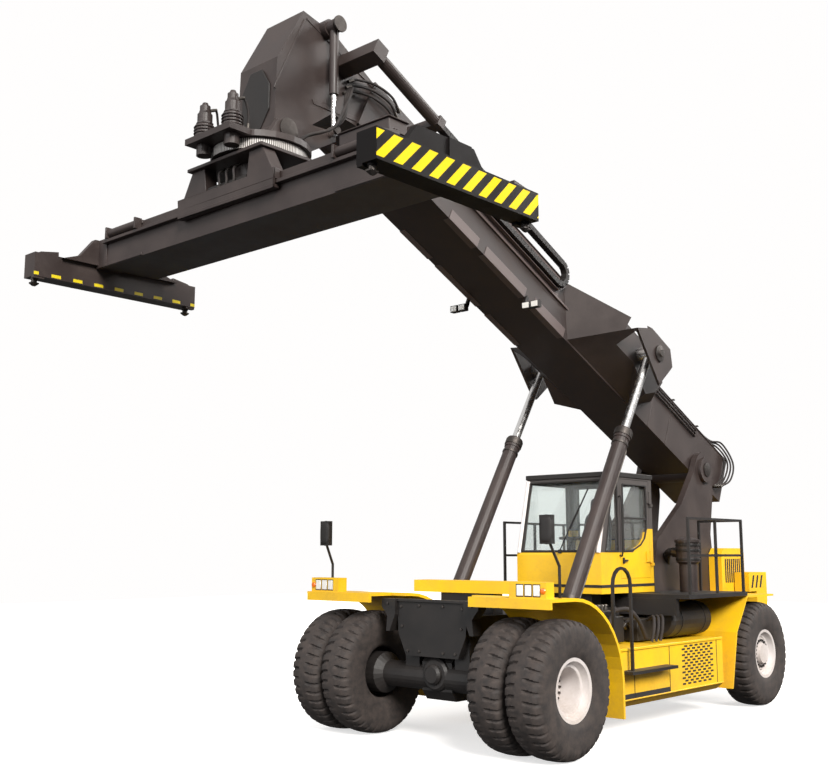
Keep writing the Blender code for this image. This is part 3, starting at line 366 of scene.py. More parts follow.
# %% Give the frame's own solids their finishes
FINISH_OF_SLOT = {"yellow_paint": YELLOW, "charcoal_paint": CHARCOAL, "black_paint": BLACK,
                  "tyre_rubber": TYRE, "chrome": CHROME, "window_glass": GLASS, "cast_steel": STEEL,
                  "seat_cloth": CLOTH}
for part in frame["record"]["subparts"]:
    solid = frame["nodes"][part["node"]]
    for holder in solid.material_slots:
        holder.material = FINISH_OF_SLOT[part["material_slot"]]
print(len(frame["nodes"]), "solids finished")

# %% [markdown]
# ## Wheels
# A port tyre is almost smooth in the middle and cut by 40 narrow grooves on each shoulder, those of one
# side half a pitch behind the other's. The radius is worked out over a grid of angle and width: it drops by
# 28 mm wherever the angle, counted in pitches, lies near a whole number.

# %% Tyres with grooved shoulders, dished rims and wheel bolts
OUTER_Y, INNER_Y, STEER_Y = 1.80, 1.24, 1.44
RIM_RADIUS, GROOVES, GROOVE_DEPTH, GROOVE_SHARE, PLAIN_CROWN = 0.36, 40, 0.028, 0.28, 0.05
SHOULDER = (0.70, 0.76)


def tyre(x, y):
    """A bulged section round the axle; each groove is a smooth step of its distance in pitches."""
    half = np.array([(RIM_RADIUS, 0.20), (0.39, 0.225), (0.46, 0.243), (0.55, 0.25), (0.64, 0.249),
                     (0.70, 0.243), (0.745, 0.230), (0.775, 0.208), (0.792, 0.18), (0.801, 0.14),
                     (0.807, 0.09), (0.809, 0.07), (0.81, PLAIN_CROWN), (0.81, 0.0)])
    well = [(RIM_RADIUS - 0.02, 0.17), (RIM_RADIUS - 0.02, -0.17)]
    radius, station = np.concatenate([half * [1, -1], half[-2::-1], well]).T[:, None, :]
    angle = np.linspace(0, math.tau, 12 * GROOVES, endpoint=False)[:, None]
    pitches = GROOVES * angle / math.tau + 1.3 * np.abs(station) + 0.5 * (station > 0)
    away = np.abs(pitches - np.round(pitches))
    groove = np.clip((GROOVE_SHARE / 2 + 0.03 - away) / 0.06, 0, 1)
    groove = groove * np.clip((np.abs(station) - PLAIN_CROWN) / 0.03, 0, 1)
    cut = np.clip((radius - SHOULDER[0]) / (SHOULDER[1] - SHOULDER[0]), 0, 1)
    radius = radius - GROOVE_DEPTH * groove * cut
    grid = np.stack([radius * np.cos(angle), np.broadcast_to(station, radius.shape),
                     radius * np.sin(angle)], -1)
    return looped(grid + [x, y, HUB_HEIGHT])


def rim(x, y, dish, hub):
    """Turned rim: a rolled edge, a disc `dish` behind it and a centre that stands out by `hub`."""
    face = y + 0.20 - dish
    profile = [(0.0, y - 0.17), (0.315, y - 0.17), (0.34, y + 0.19), (0.375, y + 0.212), (0.388, y + 0.20),
               (0.375, y + 0.215), (0.335, y + 0.21), (0.322, y + 0.17), (0.300, y + 0.13),
               (0.265, y + 0.125), (0.255, y + 0.10), (0.25, face), (0.17, face), (0.15, face + hub),
               (0.0, face + hub)]
    return turned(profile, "Y", (x, 0, HUB_HEIGHT), 64)


def studs(x, y, radius, count, size=0.016):
    """A ring of hexagon nuts standing on a disc at y."""
    angles = np.linspace(0, math.tau, count, endpoint=False)
    return [turned([(0, y - 0.01), (size, y - 0.01), (size, y + 0.022), (0, y + 0.024)], "Y",
                   (x + radius * math.cos(a), 0, HUB_HEIGHT + radius * math.sin(a)), 6) for a in angles]


def wheels(side, word):
    front, rear = f"wheel_front_{word}", f"wheel_rear_{word}"
    for name, y in (("outer", OUTER_Y), ("inner", INNER_Y)):
        made = mirrored(f"front_tyre_{name}", [tyre(0, y)], side, TYRE, front)
        if name == "outer":
            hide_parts(front)
    mirrored("front_rim", [rim(0, OUTER_Y, 0.355, 0.008)], side, RIM, front)
    inner = turned([(0, 1.30), (0.34, 1.30), (0.372, 1.03), (0.36, 1.45), (0.30, 1.5), (0.30, 1.63),
                    (0, 1.63)], "Y", (0, 0, HUB_HEIGHT), 48)
    mirrored("front_inner_rim", [inner], side, BLACK, front)
    mirrored("front_studs", studs(0, 1.65, 0.22, 20), side, STEEL, front)
    made = mirrored("rear_tyre", [tyre(-WHEELBASE, STEER_Y)], side, TYRE, rear)
    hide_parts(rear)
    mirrored("rear_rim", [rim(-WHEELBASE, STEER_Y, 0.07, 0.06)], side, RIM, rear)
    mirrored("rear_studs", studs(-WHEELBASE, 1.572, 0.205, 20, 0.020), side, BLACK, rear)


both_sides(wheels)

# %% [markdown]
# ## Two-tone cab, hazard stripes and the slewing ring
# Where one steel part carries two finishes, the border is a line on the part itself, so it is worked out
# from Object coordinates: the cab is yellow below a line that sweeps up to the door's rear post, the end
# beam's outer face has black and yellow bars 120 mm wide at 45 degrees, and the ring's band shows a bright
# tooth tip every 24 mm.

# %% Finishes with a border
BAR_PITCH = 0.12


def between(tree, value, low, high):
    """1 where a value lies between two limits."""
    above, below = calc(tree, "GREATER_THAN", value, low), calc(tree, "LESS_THAN", value, high)
    return calc(tree, "MULTIPLY", above, below)


def product(tree, *values):
    result = values[0]
    for value in values[1:]:
        result = calc(tree, "MULTIPLY", result, value)
    return result


def two_tone(base, name, mask_of, second):
    """A copy of an enamel whose colour turns to a second one where mask_of says."""
    material = base.copy()
    material.name = name
    tree = material.node_tree
    shader = tree.nodes["Principled BSDF"]
    place = next(node for node in tree.nodes if node.type == "TEX_COORD").outputs["Object"]
    axes = add(tree, "ShaderNodeSeparateXYZ", {"Vector": place}).outputs
    under = shader.inputs["Base Color"].links[0].from_socket
    mask = mask_of(tree, axes["X"], axes["Y"], axes["Z"])
    tree.links.new(mix_colours(tree, mask, under, linear(second)), shader.inputs["Base Color"])
    return material


def cab_line(tree, x, y, z):
    """1 above the yellow panel: 2.40 m up at the front, 0.36 m higher at the rear post."""
    rise = spread(tree, x, 0.36, 0.0, AXLE[0] - 4.0, AXLE[0] - 3.55)
    return calc(tree, "GREATER_THAN", calc(tree, "SUBTRACT", z, rise), 2.405)


def hazard_bars(tree, x, y, z):
    """Bars that lean back as they rise, on the outer face of the left end beam only."""
    phase = calc(tree, "FLOORED_MODULO", calc(tree, "ADD", x, z), 2 * BAR_PITCH)
    bar, outer_face = calc(tree, "GREATER_THAN", phase, BAR_PITCH), calc(tree, "GREATER_THAN", y, 3.045)
    return product(tree, bar, outer_face, between(tree, z, 5.80, 6.05))


def end_dashes(tree, x, y, z):
    """Short yellow dashes along the lower edge of the right end beam's inner face."""
    dash = calc(tree, "GREATER_THAN", calc(tree, "FLOORED_MODULO", x, 0.30), 0.17)
    return product(tree, dash, calc(tree, "GREATER_THAN", y, -2.81), between(tree, z, 5.785, 5.825))


def ring_teeth(tree, x, y, z):
    """Bright tooth tips round the slewing ring: 144 of them, by angle about the slewing axis."""
    angle = calc(tree, "ARCTAN2", y, calc(tree, "SUBTRACT", x, float(SLEW[0] + AXLE[0])))
    swing = calc(tree, "SINE", calc(tree, "MULTIPLY", angle, 144.0))
    band = between(tree, z, float(SLEW[2] - 0.125), float(SLEW[2] - 0.012))
    return calc(tree, "MULTIPLY", calc(tree, "GREATER_THAN", swing, -0.1), band)


def paint_node(name, finish):
    for holder in frame["nodes"][name].material_slots:
        holder.material = finish


CAB_TONE = two_tone(YELLOW, "two_tone_cab_enamel", cab_line, "#4A4543")
HAZARD = two_tone(STRIPE, "hazard_bar_enamel", hazard_bars, "#E6C800")
DASHED = two_tone(CHARCOAL, "dashed_beam_enamel", end_dashes, "#D8C21B")
TOOTHED = two_tone(CHARCOAL, "toothed_ring_steel", ring_teeth, "#CFCBC6")
paint_node("cab_shell", CAB_TONE)
paint_node("cab_door", CAB_TONE)
paint_node("end_beam_left", HAZARD)
paint_node("end_beam_right", DASHED)

# %% [markdown]
# ## Boom
# Hoses and cables for the head run in a link chain that folds back on itself along the boom's left edge.
# Each link is a small box placed and turned by the path: the path's own forward and up directions are its
# axes.

# %% Link chain on the boom
def links(path, pitch, length, width, height, across):
    """Boxes every `pitch` along a path, turned to its direction; `across` is the direction of their width."""
    path = np.array(path, float)
    travelled = np.concatenate([[0], np.cumsum(np.linalg.norm(np.diff(path, axis=0), axis=1))])
    stops = np.arange(pitch / 2, travelled[-1], pitch)
    centre = np.stack([np.interp(stops, travelled, path[:, k]) for k in range(3)], -1)
    ahead = np.stack([np.interp(stops + 0.01, travelled, path[:, k]) for k in range(3)], -1)
    behind = np.stack([np.interp(stops - 0.01, travelled, path[:, k]) for k in range(3)], -1)
    forward = (ahead - behind) / np.linalg.norm(ahead - behind, axis=1, keepdims=True)
    side = np.broadcast_to(np.array(across, float), forward.shape)
    up = np.cross(side, forward)
    corner = np.array([(-1, -1, -1), (1, -1, -1), (1, 1, -1), (-1, 1, -1), (-1, -1, 1), (1, -1, 1),
                       (1, 1, 1), (-1, 1, 1)])
    size = np.array([length, width, height]) / 2
    axes = np.stack([forward, side, up], 1)
    points = centre[:, None] + np.einsum("kc,nci->nki", corner * size, axes)
    sides = np.array([(0, 3, 2, 1), (4, 5, 6, 7), (0, 1, 5, 4), (1, 2, 6, 5), (2, 3, 7, 6), (3, 0, 4, 7)])
    faces = (np.arange(len(stops))[:, None, None] * 8 + sides).reshape(-1, 4)
    return points.reshape(-1, 3), faces.tolist()


def bend(centre, radius, start, end, count=12):
    """Points (u, w) of an arc between two angles in degrees."""
    angle = np.radians(np.linspace(start, end, count))
    return np.stack([centre[0] + radius * np.cos(angle), centre[1] + radius * np.sin(angle)], -1)


def ribbon(path, width, thickness):
    """A flat strip along a path that stays in one upright plane: its width lies across the machine."""
    forward = np.gradient(path, axis=0)
    forward /= np.linalg.norm(forward, axis=1, keepdims=True)
    side = np.array([0.0, width / 2, 0.0])
    up = np.cross([0.0, 1.0, 0.0], forward) * thickness / 2
    return skin(np.stack([path - side - up, path + side - up, path + side + up, path - side + up], 1))


CHAIN_Y, CHAIN_LOW, CHAIN_RADIUS, CHAIN_REAR, CHAIN_FRONT = 0.51, 0.47, 0.17, 4.95, 8.0
fold = np.concatenate([[(CHAIN_FRONT, CHAIN_LOW)],
                       bend((CHAIN_REAR, CHAIN_LOW + CHAIN_RADIUS), CHAIN_RADIUS, 270, 90),
                       [(CHAIN_FRONT, CHAIN_LOW + 2 * CHAIN_RADIUS)]])
chain_path = boom_points(np.insert(fold, 1, CHAIN_Y, axis=1))
piece("boom_link_chain", links(chain_path, 0.085, 0.081, 0.10, 0.085, (0, 1, 0)), BLACK, "outer_boom",
      bevel=0.004)
outer_fold = np.concatenate([[(CHAIN_FRONT, CHAIN_LOW - 0.07)],
                             bend((CHAIN_REAR, CHAIN_LOW + CHAIN_RADIUS), CHAIN_RADIUS + 0.07, 270, 90),
                             [(CHAIN_FRONT, CHAIN_LOW + 2 * CHAIN_RADIUS + 0.07)]])
guard = boom_points(np.insert(outer_fold, 1, 0.475, axis=1))
# The guard strip takes the lighter copy of the charcoal paint: painted light.
piece("chain_guard_strip", ribbon(guard, 0.075, 0.012), CHARCOAL_LIT, "outer_boom")


# %% Plates, rails and lamps on the boom
def boom_plate(u, w, y):
    return on_boom(slab([(u[0], w[0]), (u[1], w[0]), (u[1], w[1]), (u[0], w[1])], "Y", *y))


def boom_sides(side, word):
    # The lids, rail and side panel take the lighter copy of the charcoal paint: painted light. The side panel
    # is a thin plate laid on the boom's side to carry it.
    angled = [(0.34, -0.142), (0.449, -0.142), (0.449, 0.01), (0.441, 0.01), (0.441, -0.136), (0.34, -0.136)]
    lids = [on_boom(slab(angled, "X", *reach)) for reach in ((4.40, 5.22), (5.45, 6.46), (6.63, 7.27))]
    mirrored("boom_lids", lids, side, CHARCOAL_LIT, "outer_boom", bevel=0.004)
    rail = boom_plate((3.75, 7.85), (0.30, 0.335), (0.438, 0.468))
    mirrored("boom_rail", [rail], side, CHARCOAL_LIT, "outer_boom", bevel=0.005)
    back = boom_plate((4.75, 7.86), (0.36, 0.66), (0.438, 0.444))
    mirrored("boom_side_panel", [back], side, CHARCOAL_LIT, "outer_boom", bevel=0.004)
    strips = [boom_plate((u, u + 0.02), (-0.13, 0.68), (0.438, 0.446)) for u in (1.15, 1.75, 3.70)]
    strips.append(boom_plate((-0.90, 7.86), (0.672, 0.692), (0.438, 0.452)))
    mirrored("boom_weld_strips", strips, side, CHARCOAL, "outer_boom", bevel=0.004)
    bolts = [on_boom(turned([(0, 0.46), (0.016, 0.46), (0.016, 0.488), (0, 0.49)], "Y", (7.99, 0, w), 6))
             for w in np.linspace(-0.10, 0.65, 8)]
    mirrored("collar_bolts", bolts, side, ZINC, "outer_boom")


both_sides(boom_sides)


def work_lamps(side, word):
    u = 5.40 if side > 0 else 5.62
    arm = sided(boom_plate(around(u, 0.03), (-0.235, -0.10), (0.44, 0.47)), side)
    shells, glasses = [], []
    for across in (0.505, 0.655):
        x, y, z = boom_points([u, across * side, -0.27])
        shells.append(block((x - 0.04, x + 0.05), around(y, 0.065), around(z, 0.05)))
        glasses.append(block((x + 0.045, x + 0.056), around(y, 0.055), around(z, 0.04)))
    bar = sided(boom_plate(around(u, 0.03), (-0.235, -0.215), (0.44, 0.72)), side)
    piece(f"work_lamps_{word}", joined([arm, bar, *shells]), BLACK, "outer_boom", bevel=0.006)
    piece(f"work_lamp_glass_{word}", joined(glasses), LAMP, "outer_boom", bevel=0.004)


both_sides(work_lamps)
pivot_cap = turned([(0, 0.60), (0.115, 0.60), (0.12, 0.62), (0.12, 0.635), (0.05, 0.645), (0, 0.645)], "Y",
                   (PIVOT[0], 0, PIVOT[2]), 32)
both_sides(lambda side, word: mirrored("pivot_cap", [pivot_cap], side, STEEL, "outer_boom"))

# %% [markdown]
# ## Hoses
# A hydraulic hose runs from fitting to fitting. Its route is a few given points, eased into one
# smooth curve, with a circle carried along it; crimped ferrules sit on both ends of a hose on one body. A
# hose that crosses a hinge rides on no body and has no ferrules.

# %% Hose function and the hoses of the boom
FERRULE = 0.09


def hose(name, points, body, radius=0.018, over=None):
    path = eased(points, 8)
    made = piece(name, pipe(path, radius), HOSE, None if over else body)
    if over:
        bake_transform(made)
    else:
        first, last = path[1] - path[0], path[-2] - path[-1]
        ends = [[path[0], path[0] + FERRULE * first / np.linalg.norm(first)],
                [path[-1] + FERRULE * last / np.linalg.norm(last), path[-1]]]
        crimped = joined([pipe(end, radius * 1.35) for end in ends])
        piece(f"{name}_ferrules", crimped, ZINC, body)
    return made


for k in range(4):
    y = 0.16 + 0.07 * k
    route = boom_points([(3.4, y, 0.70), (2.9, y, 0.80), (1.6, y, 0.75), (0.5, y, 0.73),
                         (-0.25, y + 0.03, 0.75), (-0.60, 0.34 + 0.045 * k, 0.77 + 0.03 * k),
                         (-0.82 - 0.02 * k, 0.47 + 0.045 * k, 0.60),
                         (-0.80 - 0.02 * k, 0.47 + 0.05 * k, 0.25), (-0.60, 0.47 + 0.04 * k, -0.02)])
    hose(f"boom_hose_{k}", route, "outer_boom", 0.016)
for k in range(3):
    w = 0.50 + 0.06 * k
    line = boom_points([(0.30, 0.44, w), (0.36, 0.465, w), (0.60, 0.465, w), (2.30, 0.465, w),
                        (2.44, 0.465, w), (2.50, 0.44, w)])
    piece(f"boom_side_pipe_{k}", pipe(eased(line, 6), 0.014), CHARCOAL, "outer_boom")
clips = [on_boom(block(around(u, half), (0.12, 0.42), w))
         for half, w in ((0.03, (0.685, 0.70)), (0.02, (0.765, 0.78))) for u in (0.2, 1.1, 2.0)]
piece("boom_hose_clips", joined(clips), ZINC, "outer_boom", bevel=0.003)


# %% Lift cylinders: glands, feed pipes and pin caps
LIFT_LENGTH = 4.795


def lift_fittings(side, word):
    foot = np.array(JOINTS[f"lift_barrel_{word}_swing"]["pos_m"]) - AXLE
    axis = np.array(JOINTS[f"lift_rod_{word}_stroke"]["axis"])
    square = np.cross(axis, [0, 1, 0])
    out = np.array([0, side, 0])

    def on_barrel(along, up, across=0.0):
        return foot + axis * along + square * up + out * across

    def sleeve(start, end, inner, outer):
        """A hollow ring on the barrel: four circles, the last joined to the first."""
        angle = np.linspace(0, math.tau, 32, endpoint=False)[:, None]
        spoke = square * np.cos(angle) + out * np.sin(angle)
        stations = ((start, outer), (end, outer), (end, inner), (start, inner))
        return looped(np.stack([on_barrel(along, 0) + radius * spoke for along, radius in stations]))

    rings = [sleeve(3.20, 3.30, 0.118, 0.138), sleeve(3.05, 3.08, 0.118, 0.126),
             sleeve(0.45, 0.50, 0.118, 0.124)]
    piece(f"lift_gland_{word}", joined(rings), STEEL, f"lift_barrel_{word}")
    feed = eased([on_barrel(0.30, 0.10, 0.03), on_barrel(0.42, 0.14, 0.03), on_barrel(0.8, 0.145, 0.03),
                  on_barrel(2.7, 0.145, 0.03), on_barrel(3.02, 0.145, 0.03), on_barrel(3.12, 0.10, 0.03)], 6)
    piece(f"lift_feed_pipe_{word}", pipe(feed, 0.017), ZINC, f"lift_barrel_{word}")
    base = ((0.22, -0.06), (0.40, -0.06), (0.40, 0.08), (0.22, 0.08))
    valve = np.stack([on_barrel(along, 0.09, across) for along, across in base])
    piece(f"lift_valve_{word}", skin(np.stack([valve, valve + square * 0.09])), STEEL,
          f"lift_barrel_{word}", bevel=0.006)
    eye = foot + axis * LIFT_LENGTH
    cap = turned([(0, 1.20), (0.13, 1.20), (0.13, 1.215), (0.06, 1.225), (0.05, 1.245), (0, 1.245)], "Y",
                 (eye[0], 0, eye[2]), 32)
    mirrored("lift_pin_cap", [cap], side, STEEL, "outer_boom")
    foot_pin = turned([(0, 1.16), (0.075, 1.16), (0.075, 1.20), (0.03, 1.205), (0, 1.205)], "Y",
                      (foot[0], 0, foot[2]), 24)
    mirrored("lift_foot_pin", [foot_pin], side, STEEL, "chassis")


both_sides(lift_fittings)

# %% [markdown]
# ## Head, rotator and spreader
# The head is folded plate with an eight-sided access lid; pins end in turned caps. The rotator's motors are
# ribbed castings, and hoses loop from the boom to the rotator.

# %% Head lid, pins, motors and head hoses
eighths = np.radians(range(22, 382, 45))
lid = np.stack([0.24 * 1.08 * np.cos(eighths), 7.56 + 0.37 * 1.06 * np.sin(eighths)], -1)
piece("head_lid", slab(lid, "X", 3.262, 3.288), BLACK, "inner_boom", bevel=0.006)
tilt = np.array(JOINTS["head_tilt"]["pos_m"]) - AXLE
damper_top = np.array(JOINTS["damper_barrel_left_swing"]["pos_m"]) - AXLE
damper_low = np.array(JOINTS["damper_rod_left_stroke"]["pos_m"]) - AXLE


def head_fittings(side, word):
    top = turned([(0, 0.545), (0.06, 0.545), (0.06, 0.565), (0.10, 0.57), (0.10, 0.59), (0, 0.59)], "Y",
                 (damper_top[0], 0, damper_top[2]), 28)
    mirrored("damper_pin", [top], side, STEEL, "inner_boom")
    low = disc(0.05, 0.535, 0.56, "Y", (damper_low[0], 0, damper_low[2]), 20)
    mirrored("damper_foot_pin", [low], side, STEEL, f"damper_rod_{word}")
    cap = turned([(0, 0.42), (0.12, 0.42), (0.13, 0.43), (0.13, 0.445), (0.07, 0.455), (0, 0.455)], "Y",
                 (tilt[0], 0, tilt[2]), 32)
    mirrored("tilt_cap", [cap], side, STEEL, "rotator_yoke")
    outlines = ([(9.05, -0.02), (9.75, -0.35), (9.80, -0.31), (9.10, 0.02)],
                [(9.10, 0.55), (10.30, 0.52), (10.30, 0.55), (9.10, 0.58)],
                [(10.28, -0.60), (10.31, -0.60), (10.33, 0.50), (10.30, 0.50)])
    ribs = [on_boom(slab(outline, "Y", 0.325, 0.338)) for outline in outlines]
    mirrored("head_ribs", ribs, side, CHARCOAL, "inner_boom", bevel=0.004)


both_sides(head_fittings)
for k in range(3):
    y = 0.37 + 0.035 * k
    hose(f"head_hose_{k}", [(2.15, y, 7.98), (2.25, y + 0.05, 7.80), (2.42 + 0.05 * k, y + 0.20, 7.45),
                            (2.70, y + 0.22, 7.22), (2.95, y + 0.12, 7.10), (3.02, y + 0.02, 7.01)],
         "inner_boom", over=("inner_boom", "rotator_yoke"))
for k in range(3):
    lift = 0.10 * k
    loop = boom_points([(8.6, 0.395, 0.55 - lift), (8.82, 0.43, 0.60 - lift), (9.10, 0.40, 0.56 - lift),
                        (9.35, 0.365, 0.42 - lift), (9.45, 0.352, 0.30 - lift)])
    hose(f"gooseneck_hose_{k}", loop, "inner_boom", 0.016)


def motor(side, word):
    x, y = SLEW[0] + 0.595, side * 0.25
    top = SLEW[2] + 0.07
    ribs = [turned([(0, z), (0.118, z), (0.124, z + 0.008), (0.118, z + 0.016), (0, z + 0.016)], "Z",
                   (x, y, 0), 24) for z in np.linspace(top + 0.02, top + 0.13, 4)]
    ribs += [turned([(0, top + low), (wide, top + low), (narrow, top + high), (0, top + high)], "Z",
                    (x, y, 0), corners)
             for low, high, wide, narrow, corners in ((0.18, 0.20, 0.098, 0.098, 8),
                                                      (0.30, 0.33, 0.075, 0.078, 6),
                                                      (0.40, 0.44, 0.045, 0.030, 12))]
    piece(f"motor_ribs_{word}", joined(ribs), CHARCOAL, "rotator_yoke", bevel=0.002)
    hose(f"motor_hose_{word}", [(x - 0.05, y + 0.02, top + 0.36), (x - 0.13, y + 0.03, top + 0.38),
                                (x - 0.20, y + 0.02 * side, top + 0.25), (x - 0.22, y, top + 0.03)],
         "rotator_yoke", 0.014)


both_sides(motor)
ring_bolts = [disc(0.018, SLEW[2] + 0.065, SLEW[2] + 0.09, "Z",
                   (SLEW[0] + 0.54 * math.cos(a), 0.54 * math.sin(a), 0), 6)
              for a in np.linspace(0.75, math.tau - 0.75, 26)]
piece("ring_bolts", joined(ring_bolts), STEEL, "rotator_yoke")


# %% Slewing ring on a saddle with four legs that grip the spreader's ledges
BOX_HALF, LEDGE, LEDGE_GAP = 0.40, (6.27, 6.31), 0.008
LEG_LOW, GRIP_LOW, GRIP_TOP, GRIP_NEAR, GRIP_FAR = 6.43, 6.22, 6.44, 0.41, 0.50
CENTRE = (SLEW[0], 0, 0)
ring = piece("slewing_ring", disc(0.555, SLEW[2] - 0.13, SLEW[2] - 0.001, "Z", CENTRE, 96), TOOTHED,
             "rotating_frame")
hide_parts("rotating_frame")
deck = (SLEW[2] - 0.195, SLEW[2] - 0.155)
saddle = [block((SLEW[0] - 0.52, SLEW[0] + 0.52), (-0.66, 0.66), deck),
          disc(0.28, 6.45, deck[0] + 0.01, "Z", CENTRE),
          disc(0.43, deck[1] - 0.01, SLEW[2] - 0.12, "Z", CENTRE, 48)]
for front in (-1, 1):
    for side in (-1, 1):
        outline = [(side * 0.40, deck[0] + 0.01), (side * 0.62, deck[0] + 0.01), (side * 0.80, LEG_LOW),
                   (side * 0.36, LEG_LOW)]
        saddle.append(slab(outline, "X", *sorted((SLEW[0] + front * 0.30, SLEW[0] + front * 0.47))))
    for near, low, high in ((GRIP_NEAR, LEDGE[1] + LEDGE_GAP, GRIP_TOP), (0.478, GRIP_LOW, GRIP_TOP),
                            (GRIP_NEAR, GRIP_LOW, LEDGE[0] - LEDGE_GAP)):
        reach = sorted((SLEW[0] + front * near, SLEW[0] + front * GRIP_FAR))
        saddle.append(block(reach, (-0.85, 0.85), (low, high)))
piece("slewing_saddle", joined(saddle), CHARCOAL, "rotating_frame", bevel=0.006)
cross = pipe([(SLEW[0] + 0.42, y, 6.47) for y in (-0.34, 0.0, 0.34)], 0.04, 16)
piece("saddle_shift_cylinder", cross, BLACK, "rotating_frame")
for k in range(3):
    y = -0.16 + 0.13 * k
    route = [(0.36, y, 6.70), (0.45, y + 0.01, 6.62), (0.475, y + 0.05, 6.50), (0.47, y + 0.03, 6.42),
             (0.455, y, 6.39)]
    hose(f"saddle_hose_{k}", np.array(route) + CENTRE, "rotating_frame", 0.013)


# %% Spreader rails, shift cylinder, valve box and hoses
def spreader_rails(side, word):
    rails = [block(around(SLEW[0] + s * BOX_HALF), (1.70, 2.52), (z, z + 0.035))
             for s in (-1, 1) for z in (5.985, 6.38)]
    rails += [block(sorted((SLEW[0] + s * BOX_HALF, SLEW[0] + s * 0.468)), (-0.02, 2.50), LEDGE)
              for s in (-1, 1)]
    ribs = [block((SLEW[0] - 0.415, SLEW[0] + 0.415), (y, y + 0.03), (6.415, 6.435))
            for y in (1.72, 1.98, 2.24, 2.5)]
    uprights = [block(around(SLEW[0] + s * 0.405), (2.47, 2.53), (5.985, 6.42)) for s in (-1, 1)]
    tubes = [pipe([(SLEW[0] + 0.43, y, 6.38) for y in (1.75, 2.0, 2.36)], 0.055, 20)]
    tubes += [block((SLEW[0] + 0.40, SLEW[0] + 0.50), (y, y + 0.03), (6.31, 6.45)) for y in (1.73, 2.36)]
    mirrored("spreader_guard_tube", tubes, side, CHARCOAL, "spreader_frame", bevel=0.003)
    # A dark square patch on the end of the box: painted shade, standing for the dark inside the slot there.
    window = block((SLEW[0] + 0.41, SLEW[0] + 0.416), (2.478, 2.522), (6.08, 6.20))
    mirrored("spreader_end_window", [window], side, SEAL, "spreader_frame")
    mirrored("spreader_rails", rails + ribs + uprights, side, CHARCOAL, "spreader_frame", bevel=0.004)
    wedge = ((1.17, 6.065), (0.86, 6.065), (0.86, 6.14), (1.10, 6.10))
    arms = [slab([(SLEW[0] + s * out, z) for out, z in wedge], "Y", 2.84, 3.00) for s in (-1, 1)]
    mirrored("end_beam_tops", arms, side, CHARCOAL, f"end_beam_{word}", bevel=0.006)
    bolts = [disc(0.018, 2.73, 2.745, "Y", (SLEW[0] + dx, 0, z), 6)
             for dx in (-0.30, -0.15, 0.15, 0.30) for z in (6.12, 6.30)]
    mirrored("gusset_bolts", bolts, side, ZINC, f"end_beam_{word}")


both_sides(spreader_rails)
tray = block((SLEW[0] + 0.10, SLEW[0] + 0.36), (1.70, 2.40), (6.43, 6.60))
lidded = block((SLEW[0] + 0.08, SLEW[0] + 0.38), (1.68, 2.42), (6.60, 6.615))
piece("spreader_valve_box", joined([tray, lidded]), CHARCOAL, "spreader_frame", bevel=0.008)
for part, ends, radius, count, finish in (("cylinder", (1.50, 2.0, 2.45), 0.05, 16, CHARCOAL),
                                          ("rod", (1.44, 1.52), 0.028, 14, CHROME)):
    bar = pipe([(SLEW[0] - 0.22, y, 6.50) for y in ends], radius, count)
    piece(f"side_shift_{part}", bar, finish, "spreader_frame")
for k in range(3):
    x = SLEW[0] - 0.05 + 0.06 * k
    hose(f"spreader_hose_{k}", [(x, -1.50, 6.45), (x, -1.65, 6.50 + 0.03 * k), (x, -2.0, 6.47),
                                (x + 0.02, -2.4, 6.46), (x + 0.02, -2.52, 6.44)], "spreader_frame", 0.015)

# %% [markdown]
# ## Cab
# Glass sits in black rubber strips; the roof has a dark rain edge; the seat is a foam pad in woven cloth,
# crowned in the middle and pulled in at its corners: a rounded box whose sides follow |x|^n + |y|^n = 1.

# %% Window strips, roof edge, wiper and handles
ROOF, SILL, CAB_FRONT, CAB_REAR, CAB_HALF = 3.60, 2.37, -2.65, -4.15, 0.75
LEAN = 0.30 / (ROOF - 0.02 - SILL)


def strip(corners, width=0.02):
    """A rubber strip round a window: square links from corner to corner."""
    ring = np.array(corners + corners[:1], float)
    return joined([pipe([a, (a + b) / 2, b], width, 6, (0.3, 0.2, 0.9)) for a, b in zip(ring, ring[1:])])


def screen_x(z):
    return CAB_FRONT - LEAN * (z - SILL) - 0.004


front_corners = [(screen_x(z), y, z) for y, z in ((-0.67, 2.42), (0.67, 2.42), (0.67, 3.47), (-0.67, 3.47))]
piece("screen_strip", strip(front_corners), SEAL, "chassis")
left_corners = [(x, CAB_HALF, z) for x, z in ((-3.13, 2.42), (-2.78, 2.42), (-3.02, 3.47), (-3.13, 3.47))]
piece("left_window_strip", strip(left_corners, 0.014), SEAL, "chassis")
right_corners = [(x, -CAB_HALF, z) for x, z in ((-4.03, 2.42), (-2.78, 2.42), (-3.02, 3.47), (-4.03, 3.47))]
piece("right_window_strip", strip(right_corners), SEAL, "chassis")
rear_corners = [(CAB_REAR, y, z) for y, z in ((-0.6, 2.6), (0.6, 2.6), (0.6, 3.45), (-0.6, 3.45))]
piece("rear_window_strip", strip(rear_corners), SEAL, "chassis")
swept = ((-3.285, 2.42), (-3.55, 2.44), (-3.78, 2.52), (-3.90, 2.62), (-3.965, 2.78), (-3.965, 3.42),
         (-3.285, 3.42))
door_corners = [(x, CAB_HALF + 0.001, z) for x, z in swept]
piece("door_window_strip", strip(door_corners, 0.014), SEAL, "cab_door")
rim_x = screen_x(ROOF)
edge_z, edge_x = (ROOF - 0.075, ROOF - 0.005), (rim_x + 0.03, CAB_REAR - 0.02)
rain_edge = [(edge_x[0], edge_z[0]), (edge_x[0], edge_z[1]), (edge_x[1], edge_z[1]), (edge_x[1], edge_z[0])]
edge_bars = [slab(rain_edge, "Y", *around(s * 0.752)) for s in (-1, 1)]
edge_bars += [block(around(x), (-0.76, 0.76), edge_z) for x in edge_x]
piece("roof_rain_edge", joined(edge_bars), BLACK, "chassis", bevel=0.006)
